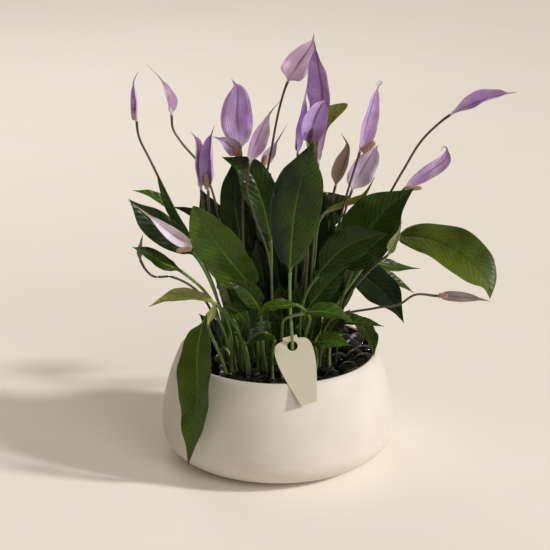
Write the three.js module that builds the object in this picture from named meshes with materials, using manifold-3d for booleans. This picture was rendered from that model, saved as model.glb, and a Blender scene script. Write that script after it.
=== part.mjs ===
// A peace lily with dyed spathes, growing in a round ceramic pot topped with dark pebbles.
// Millimetres, +Z up. The origin is the centre of the pot's flat foot, and the front faces -Y.
import * as THREE from "three";
import { mergeVertices } from "three/addons/utils/BufferGeometryUtils.js";
import Module from "manifold-3d";

const wasm = await Module();
wasm.setup();

// Pot
const POT_HEIGHT = 116;
const RIM_RADIUS = 105;
const BELLY_RADIUS = 125;
const BELLY_HEIGHT = 32;
const FOOT_RADIUS = 90;
const FOOT_STEP = 3;
const POT_WALL = 4;
const POT_FLOOR = 6;
const POT_SEGMENTS = 30;

// Filling: potting soil, and pebbles on top of it
const FILL_GAP = 0.4;
const PEBBLE_DROP = 14;
const PEBBLE_LAYER = 17;
const PEBBLE_LENGTH = 32;
const PEBBLE_FLATNESS = 0.52;
const PEBBLE_PITCH = 17.4;
const PEBBLES_UNDER_CLUMP = 13;
const STEM_GAP = 0.4;

// Plant: the tallest spathe's height above the pebbles, and the thickness of blades and stalks
const PLANT_HEIGHT = 345;
const DRAWN_HEIGHT = 345;
const BLADE_THICKNESS = 1.2;
const PETIOLE_RADIUS = 2.4;
const FLOWER_STALK_RADIUS = 2;
const SPADIX_RADIUS = 3.2;

// Tag: a plain card that leans on the rim, with a petiole through its hole. It is widest at its round
// shoulders, below a short neck, and tapers to its foot.
const TAG_WIDTH = 40;
const TAG_LENGTH = 75;
const TAG_THICKNESS = 0.8;
const TAG_SHOULDER = 19;
const TAG_NECK_WIDTH = 15;
const TAG_NECK_LENGTH = 4;
const TAG_FOOT_WIDTH = 17;
const TAG_HOLE_RADIUS = 5.4;
const TAG_HOLE_INSET = 11;
const TAG_OVERHANG = 21;
const TAG_LEAN = THREE.MathUtils.degToRad(42);
const TAG_TURN = THREE.MathUtils.degToRad(15);
const TAG_HOLE_X = 14.5;
const TAG_TOUCH_X = 15;

const PEBBLE_TOP = POT_HEIGHT - PEBBLE_DROP;
const SOIL_TOP = PEBBLE_TOP - PEBBLE_LAYER;
const PEBBLE_COUNT = Math.round((wallRadius(PEBBLE_TOP, POT_WALL) / PEBBLE_PITCH) ** 2);

// The card's own Y runs up and back along it. It rests on the round lip at TAG_TOUCH_X to the right, where
// the middle of the lip is LIP_BACK from the pot's axis, and the card's middle is TAG_OFF from the lip's.
const TAG_REACH = TAG_LENGTH - TAG_HOLE_INSET - TAG_OVERHANG;
const TAG_OFF = POT_WALL / 2 + FILL_GAP + TAG_THICKNESS / 2;
const LIP_BACK = Math.sqrt((RIM_RADIUS - POT_WALL / 2) ** 2 - TAG_TOUCH_X ** 2);
const TAG_SEAT = new THREE.Vector3(
  TAG_HOLE_X + TAG_REACH * Math.sin(TAG_TURN),
  -LIP_BACK - Math.cos(TAG_LEAN) * TAG_OFF,
  POT_HEIGHT - POT_WALL / 2 + Math.sin(TAG_LEAN) * TAG_OFF,
);
const TAG_HOLE = new THREE.Vector3(0, Math.sin(TAG_LEAN), Math.cos(TAG_LEAN))
  .multiplyScalar(TAG_REACH * Math.cos(TAG_TURN))
  .add(TAG_SEAT)
  .setX(TAG_HOLE_X);

const COLOURS = {
  ceramic: new THREE.MeshStandardMaterial({ color: 0xeee5d8, roughness: 0.55, metalness: 0 }),
  soil: new THREE.MeshStandardMaterial({ color: 0x2b1d14, roughness: 0.95, metalness: 0 }),
  pebble: new THREE.MeshStandardMaterial({ color: 0x17140f, roughness: 0.2, metalness: 0 }),
  card: new THREE.MeshStandardMaterial({ color: 0xcbc0a5, roughness: 0.85, metalness: 0 }),
  leaf: new THREE.MeshStandardMaterial({ color: 0x2e4a1c, roughness: 0.35, metalness: 0 }),
  spathe: new THREE.MeshStandardMaterial({ color: 0xa07ab8, roughness: 0.5, metalness: 0 }),
};

const lily = new THREE.Group();

function addMesh(name, geometry, material, parent = lily) {
  const mesh = new THREE.Mesh(geometry, material);
  mesh.name = name;
  parent.add(mesh);
  return mesh;
}

// The bare geometry with shared vertices merged and the triangles that have no area left out.
function weld(geometry) {
  const bare = geometry.clone();
  bare.deleteAttribute("normal");
  bare.deleteAttribute("uv");
  const merged = mergeVertices(bare, 1e-3);
  const corners = merged.index.array;
  const kept = [];
  for (let i = 0; i < corners.length; i += 3) {
    const [a, b, c] = corners.slice(i, i + 3);
    const hasArea = a !== b && b !== c && c !== a;
    if (hasArea) kept.push(a, b, c);
  }
  merged.setIndex(kept);
  return merged;
}

function toSolid(geometry) {
  const welded = weld(geometry);
  return new wasm.Manifold(
    new wasm.Mesh({
      numProp: 3,
      vertProperties: new Float32Array(welded.attributes.position.array),
      triVerts: new Uint32Array(welded.index.array),
    }),
  );
}

function toGeometry(solid) {
  const mesh = solid.getMesh();
  const geometry = new THREE.BufferGeometry();
  geometry.setAttribute("position", new THREE.BufferAttribute(mesh.vertProperties, 3));
  geometry.setIndex(new THREE.BufferAttribute(mesh.triVerts, 1));
  geometry.computeVertexNormals();
  return geometry;
}

// ---- Pot and filling

// The pot's wall from its foot to its rim, moved inwards by inset: a quarter ellipse, then a long curve.
function wallCurves(inset) {
  const lower = new THREE.EllipseCurve(
    FOOT_RADIUS,
    BELLY_HEIGHT,
    BELLY_RADIUS - FOOT_RADIUS - inset,
    BELLY_HEIGHT - FOOT_STEP - inset,
    -Math.PI / 2,
    0,
  );
  const upper = new THREE.QuadraticBezierCurve(
    new THREE.Vector2(BELLY_RADIUS - inset, BELLY_HEIGHT),
    new THREE.Vector2(BELLY_RADIUS - inset, (BELLY_HEIGHT + POT_HEIGHT) / 2),
    new THREE.Vector2(RIM_RADIUS - inset, POT_HEIGHT),
  );
  return { lower, upper };
}

// Points up the wall from the foot to a height, which lies above the belly.
function wallPoints(inset, top) {
  const { lower, upper } = wallCurves(inset);
  const below = upper.getPoints(6).filter((point) => point.y < top - 2);
  return [...lower.getPoints(4), ...below.slice(1), new THREE.Vector2(wallRadius(top, inset), top)];
}

function wallRadius(height, inset = 0) {
  if (height <= BELLY_HEIGHT) return BELLY_RADIUS - inset;
  const rise = (height - BELLY_HEIGHT) / (POT_HEIGHT - BELLY_HEIGHT);
  return THREE.MathUtils.lerp(BELLY_RADIUS, RIM_RADIUS, rise * rise) - inset;
}

// A closed profile of (radius, height) points, turned round the pot's upright axis.
function turned(profile, segments = POT_SEGMENTS) {
  return new THREE.LatheGeometry(profile, segments).rotateX(Math.PI / 2);
}

function potGeometry() {
  const lip = POT_WALL / 2;
  const lipHeight = POT_HEIGHT - lip;
  const round = new THREE.EllipseCurve(RIM_RADIUS - lip, lipHeight, lip, lip, 0, Math.PI);
  return turned([
    new THREE.Vector2(0, 0),
    new THREE.Vector2(FOOT_RADIUS - 1, 0),
    new THREE.Vector2(FOOT_RADIUS, FOOT_STEP / 2),
    ...wallPoints(0, lipHeight),
    ...round.getPoints(4).slice(1, -1),
    ...wallPoints(POT_WALL, lipHeight).reverse().slice(0, -1),
    new THREE.Vector2(FOOT_RADIUS, POT_FLOOR),
    new THREE.Vector2(0, POT_FLOOR),
  ]);
}

function soilGeometry() {
  const inset = POT_WALL + FILL_GAP;
  return turned([
    new THREE.Vector2(0, POT_FLOOR + FILL_GAP),
    new THREE.Vector2(FOOT_RADIUS, POT_FLOOR + FILL_GAP),
    ...wallPoints(inset, SOIL_TOP).slice(1),
    new THREE.Vector2(0, SOIL_TOP),
  ]);
}

// A repeatable value from 0 to 1 for the nth pebble.
function chance(n, salt) {
  const wave = Math.sin(n * 12.9898 + salt * 78.233) * 43758.5453;
  return wave - Math.floor(wave);
}

function pebbleSolid(n) {
  const length = PEBBLE_LENGTH * (0.8 + 0.4 * chance(n, 1));
  const breadth = length * (0.68 + 0.22 * chance(n, 2));
  const height = length * PEBBLE_FLATNESS;
  const reach = wallRadius(PEBBLE_TOP, POT_WALL) - length / 2 - 1;
  const radius = reach * Math.sqrt((n + 0.5) / PEBBLE_COUNT);
  const angle = n * Math.PI * (3 - Math.sqrt(5));
  const shape = new THREE.IcosahedronGeometry(0.5, 1);
  shape.scale(length, breadth, height);
  shape.rotateY((chance(n, 3) - 0.5) * 0.4);
  shape.rotateZ(chance(n, 4) * Math.PI);
  shape.translate(radius * Math.cos(angle), radius * Math.sin(angle), PEBBLE_TOP - height * 0.42);
  return toSolid(shape);
}

// The pebbles as one layer, with a hole for each stem that comes up through it. Between the pebbles
// and under the clump its top is at body height, and nothing of it reaches below its bottom.
function pebbleBedGeometry(sleeves) {
  const bottom = SOIL_TOP + FILL_GAP;
  const body = PEBBLE_TOP - PEBBLE_LENGTH * PEBBLE_FLATNESS * 0.5;
  const inset = POT_WALL + FILL_GAP;
  let bed = toSolid(
    turned([
      new THREE.Vector2(0, bottom),
      new THREE.Vector2(wallRadius(bottom, inset), bottom),
      new THREE.Vector2(wallRadius(body, inset), body),
      new THREE.Vector2(0, body),
    ]),
  );
  for (let n = PEBBLES_UNDER_CLUMP; n < PEBBLE_COUNT; n++) bed = bed.add(pebbleSolid(n));
  const deep = toSolid(
    turned([
      new THREE.Vector2(0, bottom - POT_HEIGHT),
      new THREE.Vector2(BELLY_RADIUS, bottom - POT_HEIGHT),
      new THREE.Vector2(BELLY_RADIUS, bottom),
      new THREE.Vector2(0, bottom),
    ]),
  );
  bed = bed.subtract(deep);
  for (const sleeve of sleeves) bed = bed.subtract(sleeve);
  return toGeometry(bed);
}

// ---- Tag

function tagGeometry() {
  const half = TAG_WIDTH / 2;
  const foot = TAG_FOOT_WIDTH / 2;
  const neck = TAG_NECK_WIDTH / 2;
  const widest = TAG_LENGTH - TAG_SHOULDER;
  const collar = TAG_LENGTH - TAG_NECK_LENGTH;
  const outline = new THREE.Shape();
  outline.moveTo(-foot, 0);
  outline.lineTo(foot, 0);
  outline.bezierCurveTo(foot + (half - foot) * 0.5, widest * 0.4, half, widest * 0.7, half, widest);
  outline.bezierCurveTo(half, collar - 4, half * 0.8, collar, neck + 1, collar);
  outline.lineTo(neck, TAG_LENGTH);
  outline.lineTo(-neck, TAG_LENGTH);
  outline.lineTo(-neck - 1, collar);
  outline.bezierCurveTo(-half * 0.8, collar, -half, collar - 4, -half, widest);
  outline.bezierCurveTo(-half, widest * 0.7, -foot - (half - foot) * 0.5, widest * 0.4, -foot, 0);
  const hole = new THREE.Path();
  hole.absarc(0, TAG_LENGTH - TAG_HOLE_INSET, TAG_HOLE_RADIUS, 0, Math.PI * 2, true);
  outline.holes.push(hole);
  const card = new THREE.ExtrudeGeometry(outline, {
    depth: TAG_THICKNESS,
    bevelEnabled: false,
    curveSegments: 5,
  });
  return card.translate(0, -TAG_OVERHANG, -TAG_THICKNESS / 2);
}

function placeTag(tag) {
  tag.rotation.set(Math.PI / 2 - TAG_LEAN, 0, 0);
  tag.rotateZ(TAG_TURN);
  tag.position.copy(TAG_SEAT);
}

// ---- Plant

// Points are (x, y, height above the pebbles). A root is (x, y) on top of the soil. The stalk's points
// lead from the root to the blade, whose points run from its base to its tip. Face is the way that its
// upper side looks, and cup is how far its edges fold up, in degrees.
const LEAVES = [
  {
    name: "leaf_front_tall", width: 52, cup: 12, face: [0, -1, 0.25], root: [13, -62],
    stalk: [TAG_HOLE, [12, -70, 88]],
    blade: [[12, -68, 122], [16, -72, 184], [25, -78, 230], [34, -84, 262]],
  },
  {
    name: "leaf_left_broad", width: 49, cup: 24, face: [-0.3, -0.85, 0.45], root: [-16, -26],
    stalk: [[-17, -38, 48]],
    blade: [[-27, -50, 96], [-51, -66, 136], [-72, -80, 172], [-84, -90, 198]],
  },
  {
    name: "leaf_right_broad", width: 49, cup: 10, face: [0.25, -0.75, 0.6], root: [44, 2],
    stalk: [[38, -2, 17], [60, -6, 62], [97, -16, 120]],
    blade: [[119, -24, 144], [157, -44, 149], [190, -66, 136], [210, -80, 116], [214, -86, 100]],
  },
  {
    name: "leaf_over_rim", width: 44, cup: 14, face: [-0.6, -0.75, 0.3], root: [-50, -22],
    stalk: [[-56, -36, 42], [-69, -46, 71]],
    blade: [[-76, -60, 66]],
    draped: [[-136, 27, 10], [-131, -13, 16], [-130, -54, 14], [-132, -91, 14]],
  },
  {
    name: "leaf_right_dark", width: 60, cup: 12, face: [-0.1, -0.9, 0.4], root: [30, -8],
    stalk: [[39, -8, 48]],
    blade: [[64, -14, 104], [87, -22, 142], [110, -28, 175], [138, -30, 199]],
  },
  {
    name: "leaf_right_low_broad", width: 37, cup: 16, face: [0.2, -0.8, 0.6], root: [22, -24],
    stalk: [[26, -30, 76]],
    blade: [[41, -42, 109], [64, -60, 143], [87, -74, 159], [109, -84, 168]],
  },
  {
    name: "leaf_right_shadow", width: 40, cup: 10, face: [0.2, -0.8, 0.5], root: [46, 16],
    stalk: [[55, 22, 54]],
    blade: [[75, 34, 92], [97, 40, 77], [121, 42, 55], [137, 40, 27]],
  },
  {
    name: "leaf_rim_right", width: 25, cup: 14, face: [0.5, -0.6, 0.6], root: [50, 28],
    stalk: [[52, 28, 26]],
    blade: [[66, 22, 44], [85, 4, 41], [97, -14, 30], [101, -36, 18]],
  },
  {
    name: "leaf_right_small", width: 16, cup: 20, face: [0, -0.4, 0.9], root: [54, -18],
    stalk: [[56, -24, 34]],
    blade: [[66, -26, 50], [86, -26, 52], [111, -26, 48]],
  },
  {
    name: "leaf_front_right", width: 21, cup: 22, face: [0.1, -0.5, 0.85], root: [4, -46],
    stalk: [[4, -60, 54], [8, -84, 78]],
    blade: [[26, -92, 86], [42, -96, 90], [60, -98, 87], [76, -100, 80]],
  },
  {
    name: "leaf_front_left", width: 17, cup: 26, face: [0, -0.5, 0.85], root: [24, -46],
    stalk: [[28, -62, 50], [32, -74, 76]],
    blade: [[20, -82, 91], [6, -88, 93], [-10, -90, 91], [-22, -92, 80]],
  },
  {
    name: "leaf_pebble_right", width: 21, cup: 14, face: [0, -0.6, 0.8], root: [38, -36],
    stalk: [[39, -53, 29]],
    blade: [[38, -64, 41], [54, -76, 51], [74, -84, 49]],
  },
  {
    name: "leaf_top_olive", width: 23, cup: 20, face: [0, -1, 0.2], root: [16, 56],
    stalk: [[22, 68, 126]],
    blade: [[38, 80, 199], [45, 84, 240], [74, 84, 260]],
  },
  {
    name: "leaf_left_dark", width: 27, cup: 12, face: [0, -0.95, 0.3], root: [-42, 34],
    stalk: [[-50, 44, 63]],
    blade: [[-57, 60, 104], [-72, 74, 139], [-85, 80, 168]],
  },
  {
    name: "leaf_mid_left", width: 31, cup: 12, face: [-0.1, -0.95, 0.3], root: [-26, 14],
    stalk: [[-38, 16, 75]],
    blade: [[-40, 17, 125], [-46, 17, 176], [-43, 15, 226]],
  },
  {
    name: "leaf_mid_glossy", width: 37, cup: 14, face: [0.1, -0.9, 0.4], root: [-4, -2],
    stalk: [[-7, -8, 87]],
    blade: [[-8, -12, 138], [-17, -14, 182], [-31, -10, 213], [-58, -6, 226]],
  },
  {
    name: "leaf_mid_dark", width: 35, cup: 10, face: [0, -0.95, 0.3], root: [-2, 20],
    stalk: [[-9, 24, 56]],
    blade: [[-10, 28, 113], [-6, 33, 156], [6, 38, 198]],
  },
  {
    name: "leaf_back_right_dark", width: 37, cup: 10, face: [-0.2, -0.9, 0.3], root: [18, 34],
    stalk: [[26, 46, 76]],
    blade: [[36, 72, 117], [56, 84, 144], [77, 90, 156]],
  },
  {
    name: "leaf_olive_edge", width: 12, cup: 30, face: [-0.1, -0.5, 0.9], root: [26, 24],
    stalk: [[38, 22, 101]],
    blade: [[46, 16, 155], [70, 13, 168], [88, 12, 176], [100, 12, 199]],
  },
  {
    name: "leaf_left_tail", width: 12, cup: 20, face: [-0.2, -0.5, 0.85], root: [-40, -4],
    stalk: [[-59, -8, 87]],
    blade: [[-96, -14, 147], [-116, -18, 179], [-132, -20, 190], [-149, -22, 195]],
  },
  {
    name: "leaf_left_narrow", width: 11, cup: 24, face: [-0.5, -0.7, 0.4], root: [-36, -20],
    stalk: [[-57, -24, 84]],
    blade: [[-85, -28, 137], [-109, -30, 176], [-126, -30, 222]],
  },
  {
    name: "leaf_left_ribbon", width: 12, cup: 22, face: [0, -0.5, 0.9], root: [-36, 12],
    stalk: [[-45, 18, 93]],
    blade: [[-64, 24, 139], [-88, 30, 153], [-113, 34, 161]],
  },
  {
    name: "leaf_left_edge", width: 31, cup: 12, face: [-0.3, -0.7, 0.6], root: [-46, -14],
    stalk: [[-59, -32, 66]],
    blade: [[-85, -38, 129], [-113, -42, 154], [-135, -44, 174], [-151, -46, 192]],
  },
  {
    name: "leaf_left_low", width: 17, cup: 16, face: [-0.2, -0.7, 0.65], root: [-56, -2],
    stalk: [[-68, -14, 68]],
    blade: [[-101, -30, 110], [-120, -40, 123], [-135, -48, 136], [-148, -54, 144]],
  },
  {
    name: "leaf_left_hook", width: 17, cup: 24, face: [-0.1, -0.6, 0.8], root: [-50, -36],
    stalk: [[-50, -44, 50]],
    blade: [[-64, -54, 82], [-91, -58, 93], [-111, -62, 92], [-132, -66, 84]],
  },
  {
    name: "leaf_front_mid", width: 23, cup: 18, face: [-0.2, -0.8, 0.5], root: [-10, -36],
    stalk: [[-17, -50, 41]],
    blade: [[-19, -58, 75], [-31, -74, 103], [-52, -88, 121]],
  },
  {
    name: "leaf_front_gloss", width: 19, cup: 20, face: [0.2, -0.7, 0.7], root: [-30, -32],
    stalk: [[-40, -48, 46]],
    blade: [[-55, -58, 80], [-41, -66, 78], [-28, -74, 64]],
  },
  {
    name: "leaf_front_low", width: 25, cup: 20, face: [-0.1, -0.7, 0.7], root: [-6, -46],
    stalk: [[-6, -57, 32]],
    blade: [[-4, -66, 48], [-16, -72, 58], [-35, -80, 46]],
  },
  {
    name: "leaf_inner_gloss", width: 25, cup: 12, face: [0, -0.9, 0.5], root: [16, -16],
    stalk: [[24, -20, 44]],
    blade: [[32, -22, 67], [50, -26, 92], [74, -28, 117]],
  },
  {
    name: "leaf_right_tail", width: 17, cup: 14, face: [0, -0.7, 0.7], root: [46, 36],
    stalk: [[56, 44, 52]],
    blade: [[91, 72, 86], [112, 84, 80], [129, 90, 74], [157, 98, 70]],
  },
  {
    name: "leaf_right_ribbon", width: 15, cup: 14, face: [0, -0.6, 0.8], root: [38, 48],
    stalk: [[62, 56, 53]],
    blade: [[97, 96, 73], [125, 112, 54], [154, 124, 32]],
  },
  {
    name: "leaf_back_centre", width: 46, cup: 14, face: [0, -0.3, 0.9], root: [6, 58],
    stalk: [[8, 74, 60]],
    blade: [[10, 94, 110], [6, 122, 146], [-2, 150, 150], [-8, 172, 132]],
  },
  {
    name: "leaf_back_left", width: 40, cup: 14, face: [-0.2, -0.2, 0.9], root: [-26, 50],
    stalk: [[-34, 70, 55]],
    blade: [[-44, 92, 90], [-62, 120, 112], [-80, 144, 108], [-94, 158, 88]],
  },
  {
    name: "leaf_back_right", width: 38, cup: 14, face: [0.3, -0.2, 0.9], root: [28, 60],
    stalk: [[38, 74, 50]],
    blade: [[54, 96, 80], [76, 124, 98], [94, 146, 92], [108, 162, 70]],
  },
];

// A flower is its stalk, the spathe that ends it, and the spadix of the given length.
const FLOWERS = [
  {
    name: "flower_far_left", width: 14, cup: 60, face: [-0.6, -0.8, 0.1], root: [-52, 14],
    stalk: [[-69, 14, 79], [-112, 26, 165], [-135, 34, 212], [-146, 36, 236]],
    blade: [[-148, 36, 253], [-148, 36, 276], [-150, 36, 293], [-145, 34, 307]], spadix: 12,
  },
  {
    name: "flower_left_tall", width: 17, cup: 55, face: [0.5, -0.6, 0.1], root: [-38, 22],
    stalk: [[-56, 34, 112], [-78, 52, 193], [-103, 60, 224], [-112, 62, 239]],
    blade: [[-113, 62, 253], [-116, 62, 273], [-124, 62, 292], [-138, 60, 308]], spadix: 14,
  },
  {
    name: "flower_left_hood_a", width: 14, cup: 60, face: [0.5, -0.85, 0], root: [-32, 0],
    stalk: [[-70, -2, 124]],
    blade: [[-80, -4, 190], [-82, -4, 213], [-84, -4, 243], [-90, -4, 252]], spadix: 14,
  },
  {
    name: "flower_left_hood_b", width: 19, cup: 60, face: [-0.3, -0.95, 0], root: [-24, -10],
    stalk: [[-67, -14, 128]],
    blade: [[-72, -16, 193], [-71, -16, 215], [-69, -16, 246], [-65, -16, 262]], spadix: 18,
  },
  {
    name: "flower_side", width: 20, cup: 40, face: [-0.2, -0.8, 0.5], root: [-18, 4],
    stalk: [[-36, 6, 121]],
    blade: [[-41, 8, 221], [-52, 8, 236], [-68, 8, 244]], spadix: 14,
  },
  {
    name: "flower_open", width: 34, cup: 8, face: [0, -1, 0.1], root: [-14, 34],
    stalk: [[-30, 40, 110]],
    blade: [[-40, 56, 217], [-44, 60, 250], [-43, 60, 281], [-49, 58, 293]], spadix: 14,
  },
  {
    name: "flower_mauve", width: 21, cup: 35, face: [0.5, -0.8, 0.2], root: [-8, -14],
    stalk: [[-9, -22, 117], [-25, -24, 169], [-32, -24, 196]],
    blade: [[-29, -24, 224], [-21, -24, 250], [-10, -24, 274], [2, -24, 289]], spadix: 16,
  },
  {
    name: "flower_top", width: 28, cup: 25, face: [-0.3, -0.9, 0.2], root: [2, 38],
    stalk: [[-18, 42, 143], [-7, 50, 220], [2, 54, 266]],
    blade: [[10, 54, 291], [20, 54, 308], [35, 52, 332], [37, 52, 343]], spadix: 16,
  },
  {
    name: "flower_centre_tall", width: 29, cup: 35, face: [-0.5, -0.8, 0.1], root: [20, 8],
    stalk: [[29, 6, 132]],
    blade: [[37, 6, 241], [45, 6, 283], [40, 6, 322], [36, 6, 345]], spadix: 22,
  },
  {
    name: "flower_centre_left", width: 19, cup: 45, face: [0.7, -0.6, 0.1], root: [12, -4],
    stalk: [[20, -4, 135]],
    blade: [[20, -6, 229], [21, -6, 260], [27, -6, 288], [33, -6, 321]], spadix: 18,
  },
  {
    name: "flower_centre_hood", width: 27, cup: 40, face: [0, -0.95, -0.1], root: [24, -12],
    stalk: [[31, -16, 139]],
    blade: [[33, -18, 240], [36, -18, 266], [44, -18, 284], [47, -18, 289]], spadix: 20,
  },
  {
    name: "flower_centre_right", width: 12, cup: 60, face: [0.6, -0.8, 0], root: [28, 2],
    stalk: [[37, -4, 134]],
    blade: [[41, -6, 219], [41, -6, 237], [48, -6, 258], [52, -6, 283]], spadix: 12,
  },
  {
    name: "flower_pale_back", width: 16, cup: 40, face: [0.4, -0.8, 0.3], root: [4, 48],
    stalk: [[-18, 60, 138]],
    blade: [[-18, 78, 191], [-7, 82, 210], [10, 84, 238]], spadix: 14,
  },
  {
    name: "flower_right_tall", width: 23, cup: 40, face: [0.5, -0.8, 0.1], root: [34, 14],
    stalk: [[60, 8, 132], [74, 4, 193]],
    blade: [[84, 2, 229], [90, 2, 256], [98, 2, 286], [103, 2, 300]], spadix: 18,
  },
  {
    name: "flower_right_wide", width: 25, cup: 25, face: [0.3, -0.9, 0.2], root: [34, 24],
    stalk: [[63, 30, 125]],
    blade: [[78, 36, 178], [88, 34, 201], [100, 30, 223], [105, 28, 230]], spadix: 16,
  },
  {
    name: "flower_right_old", width: 19, cup: 45, face: [-0.5, -0.8, 0.1], root: [28, 36],
    stalk: [[51, 40, 121]],
    blade: [[61, 52, 178], [71, 56, 203], [74, 56, 222], [66, 56, 235]], spadix: 14,
  },
  {
    name: "flower_far_right", width: 20, cup: 40, face: [-0.1, -0.6, 0.8], root: [44, 10],
    stalk: [[77, 0, 101], [115, -14, 189], [129, -20, 218], [144, -24, 246], [159, -28, 264]],
    blade: [[173, -30, 276], [196, -34, 289], [221, -38, 298], [238, -40, 302]], spadix: 16,
  },
  {
    name: "flower_right_hook", width: 17, cup: 35, face: [0.2, -0.8, 0.5], root: [48, -6],
    stalk: [[72, -19, 91], [111, -12, 167]],
    blade: [[131, -8, 193], [154, -8, 210], [172, -8, 225], [172, -8, 237]], spadix: 16,
  },
  {
    name: "flower_left_white", width: 25, cup: 35, face: [-0.1, -0.9, 0.3], root: [-42, -24],
    stalk: [[-55, -40, 71], [-73, -50, 131]],
    blade: [[-87, -58, 145], [-107, -64, 161], [-129, -68, 181], [-150, -72, 199]], spadix: 16,
  },
  {
    name: "flower_withered_left", width: 7, cup: 35, face: [0, -1, 0], root: [-62, -12],
    stalk: [[-66, -22, 50], [-84, -40, 92], [-109, -46, 109], [-129, -46, 110]],
    blade: [[-141, -46, 127], [-141, -46, 140], [-138, -46, 155]], spadix: 0,
  },
  {
    name: "flower_withered_right", width: 12, cup: 30, face: [0, -0.8, 0.5], root: [42, -22],
    stalk: [[54, -36, 57], [101, -40, 73], [125, -40, 77], [142, -38, 87]],
    blade: [[164, -36, 85], [185, -36, 84], [205, -36, 82], [221, -36, 79]], spadix: 10,
  },
  {
    name: "bud_pale", width: 11, cup: 40, face: [-0.6, -0.7, 0.2], root: [60, -6],
    stalk: [[70, -24, 73], [102, -50, 126]],
    blade: [[112, -54, 136], [121, -58, 156], [125, -58, 175]], spadix: 0,
  },
];

const BLADE_STEPS = [0.07, 0.22, 0.42, 0.62, 0.8, 0.93, 1];
const STALK_STEPS_PER_POINT = 2;
const TIP_HALF_WIDTH = 0.7;
const WIDEST_AT = 0.43;
const BASE_ROUNDNESS = 0.75;
const SPADIX_LEAN = 0.3;

// A growing point scaled to the plant's height, above the pebbles. The tag's hole is where it is.
function growingPoint(point) {
  if (point.isVector3) return point;
  const [x, y, height] = point;
  return new THREE.Vector3(x, y, PEBBLE_TOP + (height * PLANT_HEIGHT) / DRAWN_HEIGHT);
}

// A point that hangs beside the pot: its bearing in degrees, its height from the rim, its gap to the wall.
function drapedPoint([bearing, height, gap]) {
  const z = POT_HEIGHT + height;
  const radius = wallRadius(Math.min(z, POT_HEIGHT)) + gap;
  const angle = THREE.MathUtils.degToRad(bearing);
  return new THREE.Vector3(radius * Math.cos(angle), radius * Math.sin(angle), z);
}

// How wide a blade is along its length, from 0 to 1: full at two fifths, drawn out to the tip.
function breadth(t) {
  const swell = (t / WIDEST_AT) ** BASE_ROUNDNESS;
  const taper = (1 - t) / (1 - WIDEST_AT);
  return swell * taper;
}

// Six points round a stalk.
function stalkSection(radius) {
  return [180, 120, 60, 0, -60, -120].map((degrees) => {
    const angle = THREE.MathUtils.degToRad(degrees);
    return [radius * Math.cos(angle), radius * Math.sin(angle)];
  });
}

// Six points round a blade, with its edges folded up by the cup angle.
function bladeSection(half, thickness, cup) {
  const at = (k, side) => {
    const fold = THREE.MathUtils.degToRad(cup) * Math.abs(k);
    return [half * k * Math.cos(fold), half * Math.abs(k) * Math.sin(fold) + (side * thickness) / 2];
  };
  return [at(-1, 0), at(-0.5, 1), at(0.5, 1), at(1, 0), at(0.5, -1), at(-0.5, -1)];
}

// A closed skin through rings of points that all run the same way round.
function skin(rings) {
  const around = rings[0].length;
  const positions = rings.flat().flatMap((point) => point.toArray());
  const corners = [];
  for (let ring = 0; ring < rings.length - 1; ring++) {
    for (let i = 0; i < around; i++) {
      const a = ring * around + i;
      const b = ring * around + ((i + 1) % around);
      corners.push(a, b, b + around, a, b + around, a + around);
    }
  }
  const last = (rings.length - 1) * around;
  for (let i = 1; i < around - 1; i++) {
    corners.push(0, i + 1, i);
    corners.push(last, last + i, last + i + 1);
  }
  const geometry = new THREE.BufferGeometry();
  geometry.setAttribute("position", new THREE.Float32BufferAttribute(positions, 3));
  geometry.setIndex(corners);
  geometry.computeVertexNormals();
  return geometry;
}

// The ring of a section at a place on the route, square to it, lying along the blade's side direction.
function ringAt(place, along, side, section) {
  const across = side.clone().addScaledVector(along, -side.dot(along)).normalize();
  const up = new THREE.Vector3().crossVectors(across, along);
  return section.map(([u, v]) => place.clone().addScaledVector(across, u).addScaledVector(up, v));
}

// The route of a stalk and blade, with the side direction of the blade and where on it the blade starts.
function routeOf(organ) {
  const root = new THREE.Vector3(organ.root[0], organ.root[1], SOIL_TOP + FILL_GAP);
  const stalk = organ.stalk.map(growingPoint);
  const blade = organ.blade.map(growingPoint).concat((organ.draped ?? []).map(drapedPoint));
  const curve = new THREE.CatmullRomCurve3([root, ...stalk, ...blade], false, "centripetal");
  const start = (1 + stalk.length) / (stalk.length + blade.length);
  const chord = blade.at(-1).clone().sub(blade[0]);
  const side = new THREE.Vector3().crossVectors(chord, new THREE.Vector3(...organ.face)).normalize();
  return { curve, start, side, points: 1 + stalk.length };
}

// The rings of the stalk alone, from its upright foot to where the blade starts.
function stalkRings({ curve, start, side, points }, radius) {
  const upright = new THREE.Vector3(0, 0, 1);
  const steps = points * STALK_STEPS_PER_POINT;
  const rings = [];
  for (let i = 0; i <= steps; i++) {
    const t = (start * i) / steps;
    const along = i ? curve.getTangent(t) : upright;
    rings.push(ringAt(curve.getPoint(t), along, side, stalkSection(radius)));
  }
  return rings;
}

function organGeometry(organ, radius) {
  const route = routeOf(organ);
  const rings = stalkRings(route, radius);
  for (const step of BLADE_STEPS) {
    const t = route.start + (1 - route.start) * step;
    const half = Math.max((organ.width / 2) * breadth(step), TIP_HALF_WIDTH);
    const thickness = Math.max(BLADE_THICKNESS, 2 * radius * (1 - 5 * step));
    const section = bladeSection(half, thickness, organ.cup);
    rings.push(ringAt(route.curve.getPoint(t), route.curve.getTangent(t), route.side, section));
  }
  return skin(rings);
}

// The hole that a stalk needs in the pebbles: the stalk again, thicker by the gap.
function sleeveSolid(organ, radius) {
  const rings = stalkRings(routeOf(organ), radius + STEM_GAP);
  const down = new THREE.Vector3(0, 0, -PEBBLE_LAYER);
  const below = rings[0].map((point) => point.clone().add(down));
  return toSolid(skin([below, ...rings]));
}

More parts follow.
